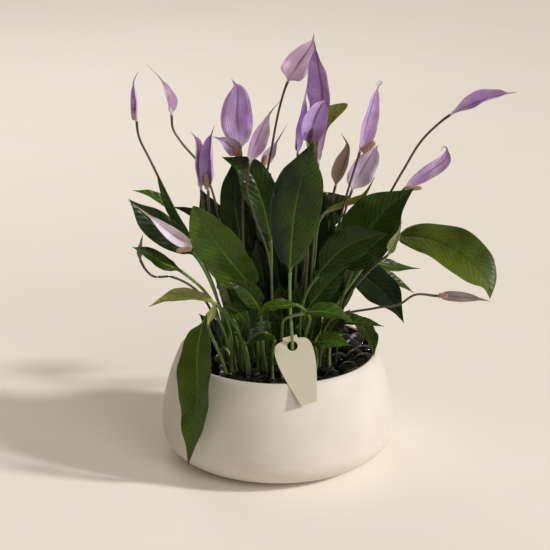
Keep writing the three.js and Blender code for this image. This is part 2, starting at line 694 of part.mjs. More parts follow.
// The spadix rises from the end of the stalk and leans to the spathe's open side.
function spadixSolid(organ) {
  const { curve, start, side } = routeOf(organ);
  const foot = curve.getPoint(start);
  const along = curve.getTangent(start);
  const across = side.clone().addScaledVector(along, -side.dot(along)).normalize();
  const open = new THREE.Vector3().crossVectors(across, along);
  const lean = along.clone().addScaledVector(open, SPADIX_LEAN).normalize();
  const shape = new THREE.LatheGeometry(
    [
      new THREE.Vector2(0, 0),
      new THREE.Vector2(SPADIX_RADIUS * 0.7, 0),
      new THREE.Vector2(SPADIX_RADIUS, organ.spadix * 0.35),
      new THREE.Vector2(SPADIX_RADIUS * 0.75, organ.spadix * 0.85),
      new THREE.Vector2(0, organ.spadix),
    ],
    7,
  );
  const turn = new THREE.Quaternion().setFromUnitVectors(new THREE.Vector3(0, 1, 0), lean);
  shape.applyQuaternion(turn);
  shape.translate(foot.x, foot.y, foot.z);
  return toSolid(shape);
}

function flowerGeometry(organ) {
  const bloom = organGeometry(organ, FLOWER_STALK_RADIUS);
  if (!organ.spadix) return bloom;
  return toGeometry(toSolid(bloom).add(spadixSolid(organ)));
}

// ---- Assembly

addMesh("pot", potGeometry(), COLOURS.ceramic);
addMesh("potting_soil", soilGeometry(), COLOURS.soil);

const sleeves = [
  ...LEAVES.map((organ) => sleeveSolid(organ, PETIOLE_RADIUS)),
  ...FLOWERS.map((organ) => sleeveSolid(organ, FLOWER_STALK_RADIUS)),
];
addMesh("pebble_bed", pebbleBedGeometry(sleeves), COLOURS.pebble);
placeTag(addMesh("plant_tag", tagGeometry(), COLOURS.card));

for (const organ of LEAVES) {
  addMesh(organ.name, organGeometry(organ, PETIOLE_RADIUS), COLOURS.leaf);
}
for (const organ of FLOWERS) {
  addMesh(organ.name, flowerGeometry(organ), COLOURS.spathe);
}

export default lily;
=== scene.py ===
"""A peace lily with lilac spathes in a round ceramic pot of dark pebbles."""

import math
import random

import bmesh
import bpy
import numpy as np
from mathutils import Matrix, Vector, noise


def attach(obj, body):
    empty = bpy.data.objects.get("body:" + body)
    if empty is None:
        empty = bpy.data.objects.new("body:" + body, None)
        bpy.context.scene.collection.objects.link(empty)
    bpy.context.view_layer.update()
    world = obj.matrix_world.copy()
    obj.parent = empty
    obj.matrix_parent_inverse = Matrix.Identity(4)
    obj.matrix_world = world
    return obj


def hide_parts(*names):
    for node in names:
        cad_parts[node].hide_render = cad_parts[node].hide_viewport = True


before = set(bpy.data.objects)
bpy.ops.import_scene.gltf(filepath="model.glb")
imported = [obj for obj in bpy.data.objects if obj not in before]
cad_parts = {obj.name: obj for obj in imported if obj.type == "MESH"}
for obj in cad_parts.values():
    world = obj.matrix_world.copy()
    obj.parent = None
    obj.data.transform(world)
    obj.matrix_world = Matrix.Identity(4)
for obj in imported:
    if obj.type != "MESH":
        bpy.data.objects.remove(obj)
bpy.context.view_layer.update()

# Sizes are in millimetres, and MM turns them into metres.
MM = 0.001

# Pot
POT_HEIGHT = 116
RIM_RADIUS = 105
BELLY_RADIUS = 125
BELLY_HEIGHT = 32
FOOT_RADIUS = 90
FOOT_STEP = 3
POT_WALL = 4
POT_FLOOR = 6
POT_SEGMENTS = 176
POT_WAVER = 0.35

# Filling
PEBBLE_TOP = 102
SOIL_TOP = 85.4
BED_GAP = 0.6
SOIL_FOOT = 7
SOIL_SEGMENTS = 150

# Tag
TAG_WIDTH = 40
TAG_LENGTH = 75
TAG_THICKNESS = 0.8
TAG_SHOULDER = 19
TAG_NECK_WIDTH = 15
TAG_NECK_LENGTH = 4
TAG_FOOT_WIDTH = 17
TAG_HOLE_RADIUS = 5.4
TAG_HOLE_INSET = 11
TAG_OVERHANG = 21
TAG_LEAN = math.radians(42)
TAG_TURN = math.radians(15)
TAG_HOLE_X = 14.5
TAG_TOUCH_X = 15
TAG_LIP_GAP = 0.4
TAG_BEVEL = 0.12

TAG_REACH = TAG_LENGTH - TAG_HOLE_INSET - TAG_OVERHANG
TAG_OFF = POT_WALL / 2 + TAG_LIP_GAP + TAG_THICKNESS / 2
LIP_BACK = math.sqrt((RIM_RADIUS - POT_WALL / 2) ** 2 - TAG_TOUCH_X**2)
TAG_SEAT = Vector(
    (
        TAG_HOLE_X + TAG_REACH * math.sin(TAG_TURN),
        -LIP_BACK - math.cos(TAG_LEAN) * TAG_OFF,
        POT_HEIGHT - POT_WALL / 2 + math.sin(TAG_LEAN) * TAG_OFF,
    )
)
TAG_RISE = TAG_REACH * math.cos(TAG_TURN)
TAG_HOLE = (
    TAG_HOLE_X,
    TAG_SEAT.y + math.sin(TAG_LEAN) * TAG_RISE,
    TAG_SEAT.z + math.cos(TAG_LEAN) * TAG_RISE - PEBBLE_TOP,
)

# Stalks
PETIOLE_RADIUS = 1.7
FLOWER_STALK_RADIUS = 1.35
STALK_SPACING = 3
STALK_TAPER = 0.12
STALK_GROOVE = 0.22
SHEATH_LENGTH = 26
SWELL_LENGTH = 9

# Blades. Side veins leave the midrib a spacing apart, and run forwards by the slant and the bend.
BLADE_THICKNESS = 0.5
WIDEST_AT = 0.43
BASE_ROUNDNESS = 0.75
STALK_UNDER_BLADE = 26
GROOVE_WIDTH = 1.5
RIDGE_WIDTH = 1.7
VEIN_SPACING = 8.5
VEIN_SLANT = 1.15
VEIN_BEND = 0.024
LEAF_RUFFLE = 0.045
SPATHE_RUFFLE = 0.055
SPATHE_FULLNESS = 1.12
SPATHE_SHAPE = (0.7, 1.25)
BODY_SHARE = 0.8
INNER_SPACING = 2.4

# What leaves and spathes each have in common. Spacing is the distance between rings of points. Tip is
# half the width of the thin end, and the round stalk turns flat over the neck. Crumple is the depth of
# the soft folds, which fold makes longer, and curl turns the edges down by a share of half the width.
# Groove and ridge are the midrib's depth above and height below, and pillow lies between the veins.
LEAF_FORM = dict(
    spacing=1.35, tail=0, tip=0.4, neck=13, crumple=0.45, fold=2.2, curl=0.05, groove=0.7, ridge=1.1,
    pillow=0.34,
)
SPATHE_FORM = dict(
    spacing=0.9, tip=0.55, neck=8, crumple=0.75, fold=1.0, curl=0.16, groove=0.3, ridge=0.55, pillow=0.0
)

# Spadix
SPADIX_RADIUS = 3
SPADIX_ROWS = 64
SPADIX_AROUND = 48
KNOB_PITCH = 2.4
BACKWARD = np.array((0, 1, 0))

# Routes, and the seeds of what varies from one organ to the next
ROUTE_PLACES = 800
LOOK_AHEAD = 0.004
LEAF_SEED = 100
FLOWER_SEED = 300
SHEATH_NUMBER = 490
INNER_NUMBER = 500
INNER_SEED = 29
PEBBLE_SEED = 11
PEBBLE_SPOT_SEED = 3

# Points are (x, y, height above the pebbles), and a root is (x, y). The stalk's points lead from the
# root to the blade, whose points run from its base to its tip. Face is the way its upper side looks, and
# cup is how far its edges fold up, in degrees. A draped point is (bearing, height from the rim, gap to
# the wall). The painted light half is how much lighter one half of a leaf is painted than the other,
# standing for light that falls on that side, and a low fullness makes its ends blunter. A flower's tail
# is the share of its spathe that is drawn out thin, fullness widens it, and shape is its (foot, taper).
# Its spadix stands on the open side, or behind the spathe where its side is -1, and leans along the
# spathe unless it has a lean of its own.
LEAVES = [
    # The tall front leaf has the widest range of greens, and its right half is painted lighter: painted
    # light falling from the right.
    dict(
        name="leaf_front_tall", width=52, cup=12, face=(0, -1, 0.25), root=(13, -62),
        stalk=[TAG_HOLE, (12, -70, 88)],
        blade=[(12, -68, 122), (16, -72, 184), (25, -78, 230), (34, -84, 262)],
        look="varied_and_lit_half", painted_light_half=0.7,
    ),
    dict(
        name="leaf_left_broad", width=49, cup=24, face=(-0.3, -0.85, 0.45), root=(-16, -26),
        stalk=[(-17, -38, 48)],
        blade=[(-27, -50, 96), (-51, -66, 136), (-72, -80, 172), (-84, -90, 198)],
        look="light", fullness=0.6, painted_light_half=0.3,
    ),
    dict(
        name="leaf_right_broad", width=49, cup=10, face=(0.25, -0.75, 0.6), root=(44, 2),
        stalk=[(38, -2, 17), (60, -6, 62), (97, -16, 120)],
        blade=[(119, -24, 144), (157, -44, 149), (190, -66, 136), (210, -80, 116), (214, -86, 100)],
        look="ribbed",
    ),
    dict(
        name="leaf_over_rim", width=44, cup=14, face=(-0.6, -0.75, 0.3), root=(-50, -22),
        stalk=[(-56, -36, 42), (-69, -46, 71)],
        blade=[(-76, -60, 66)],
        draped=[(-136, 27, 10), (-131, -13, 16), (-130, -54, 14), (-132, -91, 14)],
        look="mid",
    ),
    dict(
        name="leaf_right_dark", width=60, cup=12, face=(-0.1, -0.9, 0.4), root=(30, -8),
        stalk=[(39, -8, 48)],
        blade=[(64, -14, 104), (87, -22, 142), (110, -28, 175), (138, -30, 199)],
        look="dark", painted_light_half=-0.3,
    ),
    dict(
        name="leaf_right_low_broad", width=37, cup=16, face=(0.2, -0.8, 0.6), root=(22, -24),
        stalk=[(26, -30, 76)],
        blade=[(41, -42, 109), (64, -60, 143), (87, -74, 159), (109, -84, 168)],
        look="dark",
    ),
    dict(
        name="leaf_right_shadow", width=40, cup=10, face=(0.2, -0.8, 0.5), root=(46, 16),
        stalk=[(55, 22, 54)],
        blade=[(75, 34, 92), (97, 40, 77), (121, 42, 55), (137, 40, 27)],
        look="shaded",
    ),
    dict(
        name="leaf_rim_right", width=25, cup=14, face=(0.5, -0.6, 0.6), root=(50, 28),
        stalk=[(52, 28, 26)],
        blade=[(66, 22, 44), (85, 4, 41), (97, -14, 30), (101, -36, 18)],
        look="mid",
    ),
    dict(
        name="leaf_right_small", width=16, cup=20, face=(0, -0.4, 0.9), root=(54, -18),
        stalk=[(56, -24, 34)],
        blade=[(66, -26, 50), (86, -26, 52), (111, -26, 48)],
        look="mid",
    ),
    dict(
        name="leaf_front_right", width=21, cup=22, face=(0.1, -0.5, 0.85), root=(4, -46),
        stalk=[(4, -60, 54), (8, -84, 78)],
        blade=[(26, -92, 86), (42, -96, 90), (60, -98, 87), (76, -100, 80)],
        look="light",
    ),
    dict(
        name="leaf_front_left", width=17, cup=26, face=(0, -0.5, 0.85), root=(24, -46),
        stalk=[(28, -62, 50), (32, -74, 76)],
        blade=[(20, -82, 91), (6, -88, 93), (-10, -90, 91), (-22, -92, 80)],
        look="mid",
    ),
    dict(
        name="leaf_pebble_right", width=21, cup=14, face=(0, -0.6, 0.8), root=(38, -36),
        stalk=[(39, -53, 29)],
        blade=[(38, -64, 41), (54, -76, 51), (74, -84, 49)],
        look="light",
    ),
    dict(
        name="leaf_top_olive", width=23, cup=20, face=(0, -1, 0.2), root=(16, 56),
        stalk=[(22, 68, 126)],
        blade=[(38, 80, 199), (45, 84, 240), (74, 84, 260)],
        look="olive", fullness=0.5,
    ),
    dict(
        name="leaf_left_dark", width=27, cup=12, face=(0, -0.95, 0.3), root=(-42, 34),
        stalk=[(-50, 44, 63)],
        blade=[(-57, 60, 104), (-72, 74, 139), (-85, 80, 168)],
        look="dark",
    ),
    dict(
        name="leaf_mid_left", width=31, cup=12, face=(-0.1, -0.95, 0.3), root=(-26, 14),
        stalk=[(-38, 16, 75)],
        blade=[(-40, 17, 125), (-46, 17, 176), (-43, 15, 226)],
        look="dark",
    ),
    dict(
        name="leaf_mid_glossy", width=37, cup=14, face=(0.1, -0.9, 0.4), root=(-4, -2),
        stalk=[(-7, -8, 87)],
        blade=[(-8, -12, 138), (-17, -14, 182), (-31, -10, 213), (-58, -6, 226)],
        look="dark",
    ),
    dict(
        name="leaf_mid_dark", width=35, cup=10, face=(0, -0.95, 0.3), root=(-2, 20),
        stalk=[(-9, 24, 56)],
        blade=[(-10, 28, 113), (-6, 33, 156), (6, 38, 198)],
        look="dark",
    ),
    dict(
        name="leaf_back_right_dark", width=37, cup=10, face=(-0.2, -0.9, 0.3), root=(18, 34),
        stalk=[(26, 46, 76)],
        blade=[(36, 72, 117), (56, 84, 144), (77, 90, 156)],
        look="dark",
    ),
    dict(
        name="leaf_olive_edge", width=12, cup=30, face=(-0.1, -0.5, 0.9), root=(26, 24),
        stalk=[(38, 22, 101)],
        blade=[(46, 16, 155), (70, 13, 168), (88, 12, 176), (100, 12, 199)],
        look="olive",
    ),
    dict(
        name="leaf_left_tail", width=12, cup=20, face=(-0.2, -0.5, 0.85), root=(-40, -4),
        stalk=[(-59, -8, 87)],
        blade=[(-96, -14, 147), (-116, -18, 179), (-132, -20, 190), (-149, -22, 195)],
        look="mid",
    ),
    dict(
        name="leaf_left_narrow", width=11, cup=24, face=(-0.5, -0.7, 0.4), root=(-36, -20),
        stalk=[(-57, -24, 84)],
        blade=[(-85, -28, 137), (-109, -30, 176), (-126, -30, 222)],
        look="mid",
    ),
    dict(
        name="leaf_left_ribbon", width=12, cup=22, face=(0, -0.5, 0.9), root=(-36, 12),
        stalk=[(-45, 18, 93)],
        blade=[(-64, 24, 139), (-88, 30, 153), (-113, 34, 161)],
        look="dark",
    ),
    dict(
        name="leaf_left_edge", width=31, cup=12, face=(-0.3, -0.7, 0.6), root=(-46, -14),
        stalk=[(-59, -32, 66)],
        blade=[(-85, -38, 129), (-113, -42, 154), (-135, -44, 174), (-151, -46, 192)],
        look="dark",
    ),
    dict(
        name="leaf_left_low", width=17, cup=16, face=(-0.2, -0.7, 0.65), root=(-56, -2),
        stalk=[(-68, -14, 68)],
        blade=[(-101, -30, 110), (-120, -40, 123), (-135, -48, 136), (-148, -54, 144)],
        look="light",
    ),
    dict(
        name="leaf_left_hook", width=17, cup=24, face=(-0.1, -0.6, 0.8), root=(-50, -36),
        stalk=[(-50, -44, 50)],
        blade=[(-64, -54, 82), (-91, -58, 93), (-111, -62, 92), (-132, -66, 84)],
        look="olive",
    ),
    dict(
        name="leaf_front_mid", width=23, cup=18, face=(-0.2, -0.8, 0.5), root=(-10, -36),
        stalk=[(-17, -50, 41)],
        blade=[(-19, -58, 75), (-31, -74, 103), (-52, -88, 121)],
        look="dark",
    ),
    dict(
        name="leaf_front_gloss", width=19, cup=20, face=(0.2, -0.7, 0.7), root=(-30, -32),
        stalk=[(-40, -48, 46)],
        blade=[(-55, -58, 80), (-41, -66, 78), (-28, -74, 64)],
        look="mid",
    ),
    dict(
        name="leaf_front_low", width=25, cup=20, face=(-0.1, -0.7, 0.7), root=(-6, -46),
        stalk=[(-6, -57, 32)],
        blade=[(-4, -66, 48), (-16, -72, 58), (-35, -80, 46)],
        look="mid",
    ),
    dict(
        name="leaf_inner_gloss", width=25, cup=12, face=(0, -0.9, 0.5), root=(16, -16),
        stalk=[(24, -20, 44)],
        blade=[(32, -22, 67), (50, -26, 92), (74, -28, 117)],
        look="dark",
    ),
    dict(
        name="leaf_right_tail", width=17, cup=14, face=(0, -0.7, 0.7), root=(46, 36),
        stalk=[(56, 44, 52)],
        blade=[(91, 72, 86), (112, 84, 80), (129, 90, 74), (157, 98, 70)],
        look="mid",
    ),
    dict(
        name="leaf_right_ribbon", width=15, cup=14, face=(0, -0.6, 0.8), root=(38, 48),
        stalk=[(62, 56, 53)],
        blade=[(97, 96, 73), (125, 112, 54), (154, 124, 32)],
        look="mid",
    ),
    dict(
        name="leaf_back_centre", width=46, cup=14, face=(0, -0.3, 0.9), root=(6, 58),
        stalk=[(8, 74, 60)],
        blade=[(10, 94, 110), (6, 122, 146), (-2, 150, 150), (-8, 172, 132)],
        look="mid",
    ),
    dict(
        name="leaf_back_left", width=40, cup=14, face=(-0.2, -0.2, 0.9), root=(-26, 50),
        stalk=[(-34, 70, 55)],
        blade=[(-44, 92, 90), (-62, 120, 112), (-80, 144, 108), (-94, 158, 88)],
        look="dark",
    ),
    dict(
        name="leaf_back_right", width=38, cup=14, face=(0.3, -0.2, 0.9), root=(28, 60),
        stalk=[(38, 74, 50)],
        blade=[(54, 96, 80), (76, 124, 98), (94, 146, 92), (108, 162, 70)],
        look="mid",
    ),
]

FLOWERS = [
    dict(
        name="flower_far_left", width=14, cup=60, face=(-0.6, -0.8, 0.1), root=(-52, 14),
        stalk=[(-69, 14, 79), (-112, 26, 165), (-135, 34, 212), (-146, 36, 236)],
        blade=[(-148, 36, 253), (-148, 36, 276), (-150, 36, 293), (-145, 34, 307)],
        spadix=12, look="lilac", tail=0.3, shape=(0.9, 1.4),
    ),
    dict(
        name="flower_left_tall", width=17, cup=55, face=(0.5, -0.6, 0.1), root=(-38, 22),
        stalk=[(-56, 34, 112), (-78, 52, 193), (-103, 60, 224), (-112, 62, 239)],
        blade=[(-113, 62, 253), (-116, 62, 273), (-124, 62, 292), (-138, 60, 308)],
        spadix=14, look="ribbed", tail=0.34, spadix_side=-1, shape=(0.9, 1.2),
    ),
    dict(
        name="flower_left_hood_a", width=14, cup=60, face=(0.5, -0.85, 0), root=(-32, 0),
        stalk=[(-70, -2, 124)],
        blade=[(-80, -4, 190), (-82, -4, 213), (-84, -4, 243), (-90, -4, 252)],
        spadix=14, look="lilac", tail=0.2, spadix_side=-1, fullness=1.55, shape=(0.8, 1.0),
    ),
    dict(
        name="flower_left_hood_b", width=19, cup=60, face=(-0.3, -0.95, 0), root=(-24, -10),
        stalk=[(-67, -14, 128)],
        blade=[(-72, -16, 193), (-71, -16, 215), (-69, -16, 246), (-65, -16, 262)],
        spadix=18, look="lilac", tail=0.2, fullness=1.5, shape=(0.8, 1.0),
    ),
    dict(
        name="flower_side", width=20, cup=40, face=(-0.2, -0.8, 0.5), root=(-18, 4),
        stalk=[(-36, 6, 121)],
        blade=[(-41, 8, 221), (-52, 8, 236), (-68, 8, 244)],
        spadix=14, look="pale", tail=0.12,
    ),
    dict(
        name="flower_open", width=34, cup=8, face=(0, -1, 0.1), root=(-14, 34),
        stalk=[(-30, 40, 110)],
        blade=[(-40, 56, 217), (-44, 60, 250), (-43, 60, 281), (-49, 58, 293)],
        spadix=14, look="lilac", tail=0.13, spadix_side=-1, fullness=1.02,
    ),
    dict(
        name="flower_mauve", width=21, cup=35, face=(0.5, -0.8, 0.2), root=(-8, -14),
        stalk=[(-9, -22, 117), (-25, -24, 169), (-32, -24, 196)],
        blade=[(-29, -24, 224), (-21, -24, 250), (-10, -24, 274), (2, -24, 289)],
        spadix=16, look="mauve", tail=0.28, spadix_side=-1, shape=(0.9, 1.2),
    ),
    dict(
        name="flower_top", width=28, cup=25, face=(-0.3, -0.9, 0.2), root=(2, 38),
        stalk=[(-18, 42, 143), (-7, 50, 220), (2, 54, 266)],
        blade=[(10, 54, 291), (20, 54, 308), (35, 52, 332), (37, 52, 343)],
        spadix=16, look="ribbed", tail=0.2, spadix_side=-1, spadix_radius=2, fullness=1.15,
    ),
    dict(
        name="flower_centre_tall", width=29, cup=35, face=(-0.5, -0.8, 0.1), root=(20, 8),
        stalk=[(29, 6, 132)],
        blade=[(37, 6, 241), (45, 6, 283), (40, 6, 322), (36, 6, 345)],
        spadix=22, look="deep", tail=0.12, spadix_side=-1, shape=(0.8, 1.1),
    ),
    dict(
        name="flower_centre_left", width=19, cup=45, face=(0.7, -0.6, 0.1), root=(12, -4),
        stalk=[(20, -4, 135)],
        blade=[(20, -6, 229), (21, -6, 260), (27, -6, 288), (33, -6, 321)],
        spadix=18, look="deep", tail=0.3, spadix_side=-1, shape=(0.9, 1.2),
    ),
    dict(
        name="flower_centre_hood", width=27, cup=40, face=(0, -0.95, -0.1), root=(24, -12),
        stalk=[(31, -16, 139)],
        blade=[(33, -18, 240), (36, -18, 266), (44, -18, 284), (47, -18, 289)],
        spadix=20, look="deep", tail=0.1, fullness=1.2,
    ),
    dict(
        name="flower_centre_right", width=12, cup=60, face=(0.6, -0.8, 0), root=(28, 2),
        stalk=[(37, -4, 134)],
        blade=[(41, -6, 219), (41, -6, 237), (48, -6, 258), (52, -6, 283)],
        spadix=12, look="mauve", tail=0.3, spadix_side=-1, shape=(0.9, 1.2),
    ),
    dict(
        name="flower_pale_back", width=16, cup=40, face=(0.4, -0.8, 0.3), root=(4, 48),
        stalk=[(-18, 60, 138)],
        blade=[(-18, 78, 191), (-7, 82, 210), (10, 84, 238)],
        spadix=14, look="pale", tail=0.3, shape=(0.9, 1.2),
    ),
    dict(
        name="flower_right_tall", width=23, cup=40, face=(0.5, -0.8, 0.1), root=(34, 14),
        stalk=[(60, 8, 132), (74, 4, 193)],
        blade=[
            (84, 2, 229), (90, 2, 256), (98, 2, 286), (103, 2, 300), (105.5, 2, 301.5),
            (103.3, 2, 303.6), (98.8, 2, 298.2),
        ],
        spadix=18, look="lilac", tail=0.56,
        lean=(0.8, -0.3, 0.8), spadix_radius=4.4, fullness=1.05, shape=(0.6, 1.05),
    ),
    dict(
        name="flower_right_wide", width=25, cup=25, face=(0.3, -0.9, 0.2), root=(34, 24),
        stalk=[(63, 30, 125)],
        blade=[(78, 36, 178), (88, 34, 201), (100, 30, 223), (105, 28, 230)],
        spadix=16, look="pale", tail=0.14, spadix_side=-1, fullness=1.25,
    ),
    dict(
        name="flower_right_old", width=19, cup=45, face=(-0.5, -0.8, 0.1), root=(28, 36),
        stalk=[(51, 40, 121)],
        blade=[(61, 52, 178), (71, 56, 203), (74, 56, 222), (66, 56, 235)],
        spadix=14, look="old", tail=0.22, spadix_side=-1, fullness=1.3,
    ),
    dict(
        name="flower_far_right", width=20, cup=40, face=(-0.1, -0.6, 0.8), root=(44, 10),
        stalk=[(77, 0, 101), (115, -14, 189), (129, -20, 218), (144, -24, 246), (159, -28, 264)],
        blade=[(173, -30, 276), (196, -34, 289), (221, -38, 298), (238, -40, 302)],
        spadix=16, look="lilac", tail=0.16, spadix_side=-1, spadix_radius=1.6, shape=(1.15, 1.1),
    ),
    dict(
        name="flower_right_hook", width=17, cup=35, face=(0.2, -0.8, 0.5), root=(48, -6),
        stalk=[(72, -19, 91), (111, -12, 167)],
        blade=[
            (131, -8, 193), (154, -8, 210), (172, -8, 225), (172, -8, 237), (168.8, -8, 236.6),
            (166.2, -9, 232.7),
        ],
        spadix=16, look="lilac", tail=0.47, lean=(1, -0.1, 0.05), shape=(0.75, 0.8),
    ),
    dict(
        name="flower_left_white", width=25, cup=35, face=(-0.1, -0.9, 0.3), root=(-42, -24),
        stalk=[(-55, -40, 71), (-73, -50, 131)],
        blade=[(-87, -58, 145), (-107, -64, 161), (-129, -68, 181), (-150, -72, 199)],
        spadix=16, look="white", tail=0.3, lean=(-1, -0.2, -0.1), fullness=0.7, shape=(0.7, 1.1),
    ),
    dict(
        name="flower_withered_left", width=7, cup=35, face=(0, -1, 0), root=(-62, -12),
        stalk=[(-66, -22, 50), (-84, -40, 92), (-109, -46, 109), (-129, -46, 110)],
        blade=[(-141, -46, 127), (-141, -46, 140), (-138, -46, 155)],
        spadix=0, look="withered", tail=0.2, shape=(0.9, 1.1),
    ),
    dict(
        name="flower_withered_right", width=12, cup=30, face=(0, -0.8, 0.5), root=(42, -22),
        stalk=[(54, -36, 57), (101, -40, 73), (125, -40, 77), (142, -38, 87)],
        blade=[(164, -36, 85), (185, -36, 84), (205, -36, 82), (221, -36, 79)],
        spadix=10, look="withered", tail=0.2, shape=(0.8, 1.1),
    ),
    dict(
        name="bud_pale", width=11, cup=40, face=(-0.6, -0.7, 0.2), root=(60, -6),
        stalk=[(70, -24, 73), (102, -50, 126)],
        blade=[(112, -54, 136), (121, -58, 156), (125, -58, 175)],
        spadix=0, look="bud", tail=0.25, fullness=1.35,
    ),
]


# ---- Materials


def srgb(red, green, blue):
    """A colour given as 0 to 255 on screen, as the shader wants it."""

    def linear(value):
        share = value / 255
        return share / 12.92 if share <= 0.04045 else ((share + 0.055) / 1.055) ** 2.4

    return (linear(red), linear(green), linear(blue), 1)


def set_inputs(tree, node, values):
    """Sets a node's inputs, by name or number, each to a constant or to another node's output."""
    for key, value in values.items():
        if isinstance(value, bpy.types.NodeSocket):
            tree.links.new(value, node.inputs[key])
        else:
            node.inputs[key].default_value = value


def add_node(tree, kind, values=None, **settings):
    made = tree.nodes.new("ShaderNode" + kind)
    for key, value in settings.items():
        setattr(made, key, value)
    set_inputs(tree, made, values or {})
    return made


def calc(tree, operation, first, second=0.0, clamp=False):
    """The output of one Math node."""
    values = {0: first, 1: second}
    return add_node(tree, "Math", values, operation=operation, use_clamp=clamp).outputs[0]


def times(tree, first, second):
    return calc(tree, "MULTIPLY", first, second)


def plus(tree, first, second):
    return calc(tree, "ADD", first, second)


def spread(tree, value, low, high, to_low=0.0, to_high=1.0):
    """The value mapped smoothly from one range to another."""
    values = {"Value": value, 1: low, 2: high, 3: to_low, 4: to_high}
    return add_node(tree, "MapRange", values, interpolation_type="SMOOTHSTEP").outputs[0]


def tint(tree, share, first, second):
    """Two colours mixed by a share from 0 to 1."""
    values = {0: share, 6: first, 7: second}
    return add_node(tree, "Mix", values, data_type="RGBA", clamp_factor=True).outputs[2]


def base_coat(tree, share, first, second):
    """The first coat of a skin, between two screen colours."""
    return tint(tree, share, srgb(*first), srgb(*second))


def layer(tree, under, mask, colour, strength=None):
    """A screen colour laid over another where the mask is 1, at that strength."""
    share = mask if strength is None else times(tree, mask, strength)
    return tint(tree, share, under, srgb(*colour))


def trait(tree, name):
    """A number stored on the mesh's points."""
    return add_node(tree, "Attribute", attribute_name=name).outputs["Fac"]


def place(tree):
    return add_node(tree, "TexCoord").outputs["Object"]


def cloud(tree, scale, detail=3.0, stretch=None, roughness=0.5):
    """Soft noise over the surface, from 0 to 1. Stretch scales it along each axis."""
    where = place(tree)
    if stretch:
        where = add_node(tree, "Mapping", {"Vector": where, "Scale": stretch}).outputs[0]
    values = {"Vector": where, "Scale": scale, "Detail": detail, "Roughness": roughness}
    return add_node(tree, "TexNoise", values).outputs[0]


def new_group(name, inputs, outputs):
    """A node group with number inputs, given as {name: value}, and named number outputs."""
    group = bpy.data.node_groups.new(name, "ShaderNodeTree")
    for label, value in inputs.items():
        socket = group.interface.new_socket(label, in_out="INPUT", socket_type="NodeSocketFloat")
        socket.default_value = value
    for label in outputs:
        group.interface.new_socket(label, in_out="OUTPUT", socket_type="NodeSocketFloat")
    return group, group.nodes.new("NodeGroupInput").outputs, group.nodes.new("NodeGroupOutput").inputs


def use_group(tree, group, values=None):
    made = tree.nodes.new("ShaderNodeGroup")
    made.node_tree = group
    set_inputs(tree, made, values or {})
    return made.outputs


def crests(tree, turns, sharpness):
    """A wave of that many turns, and its crests drawn thin: both from 0 to 1."""
    wave = calc(tree, "COSINE", times(tree, turns, 2 * math.pi))
    values = {0: wave, 1: 0.5, 2: 0.5}
    wave = add_node(tree, "Math", values, operation="MULTIPLY_ADD").outputs[0]
    return wave, calc(tree, "POWER", wave, sharpness)


def mottle_group():
    """Broad and fine patches over a surface: a value from 0 to 1, and a height for the finest of them."""
    inputs = {"Broad": 30.0, "Fine": 400.0, "Fine share": 0.4}
    group, given, out = new_group("mottle", inputs, ["Patches", "Grain"])
    broad = cloud(group, given["Broad"])
    fine = cloud(group, given["Fine"], detail=5.0)
    mixed = add_node(group, "Mix", {0: given["Fine share"], 2: broad, 3: fine}).outputs[0]
    group.links.new(spread(group, mixed, 0.3, 0.7), out["Patches"])
    group.links.new(fine, out["Grain"])
    return group


def side_vein_group():
    """Veins that leave the midrib at an angle and bend forwards: their lines, and the pillows between."""
    inputs = {"Spacing": VEIN_SPACING, "Slant": VEIN_SLANT, "Bend": VEIN_BEND, "Sharpness": 7.0}
    group, given, out = new_group("side_veins", inputs, ["Lines", "Pillows"])
    along = trait(group, "along")
    across = calc(group, "ABSOLUTE", trait(group, "across"))
    lean = times(group, across, given["Slant"])
    bend = times(group, calc(group, "POWER", across, 2.0), given["Bend"])
    back = calc(group, "SUBTRACT", calc(group, "SUBTRACT", along, lean), bend)
    drift = times(group, cloud(group, 40.0, detail=1.0), 2.0)
    turns = calc(group, "DIVIDE", plus(group, back, drift), given["Spacing"])
    wave, lines = crests(group, turns, given["Sharpness"])
    group.links.new(lines, out["Lines"])
    group.links.new(calc(group, "SUBTRACT", 1.0, wave), out["Pillows"])
    return group


def long_vein_group():
    """Fine veins that run from a spathe's base to its tip: their lines."""
    group, given, out = new_group("long_veins", {"Count": 9.0, "Sharpness": 4.0}, ["Lines"])
    drift = times(group, cloud(group, 90.0, detail=1.0), 0.25)
    turns = times(group, plus(group, trait(group, "share_across"), drift), given["Count"])
    group.links.new(crests(group, turns, given["Sharpness"])[1], out["Lines"])
    return group


def speck_group():
    """Small scattered dots: a mask that is 1 on a dot."""
    group, given, out = new_group("specks", {"Scale": 120.0, "Size": 0.1, "Share": 0.1}, ["Mask"])
    cells = add_node(group, "TexVoronoi", {"Vector": place(group), "Scale": given["Scale"]})
    picked = calc(group, "LESS_THAN", cells.outputs["Color"], given["Share"])
    near = calc(group, "LESS_THAN", cells.outputs["Distance"], given["Size"])
    group.links.new(times(group, picked, near), out["Mask"])
    return group


MOTTLE = mottle_group()
SIDE_VEINS = side_vein_group()
LONG_VEINS = long_vein_group()
SPECKS = speck_group()


def mottle(tree, broad, fine, fine_share):
    """The patches and the grain of a surface, by the scales of its broad and fine patches."""
    made = use_group(tree, MOTTLE, {"Broad": broad, "Fine": fine, "Fine share": fine_share})
    return made["Patches"], made["Grain"]


def specks(tree, scale, size, share):
    return use_group(tree, SPECKS, {"Scale": scale, "Size": size, "Share": share})["Mask"]


def new_material(name, roughness, **constants):
    """A material with a Principled BSDF, and that shader. Constants are its sockets by name."""
    material = bpy.data.materials.new(name)
    material.use_nodes = True
    shader = material.node_tree.nodes["Principled BSDF"]
    shader.inputs["Roughness"].default_value = roughness
    for key, value in constants.items():
        shader.inputs[key.replace("_", " ")].default_value = value
    return material, material.node_tree, shader


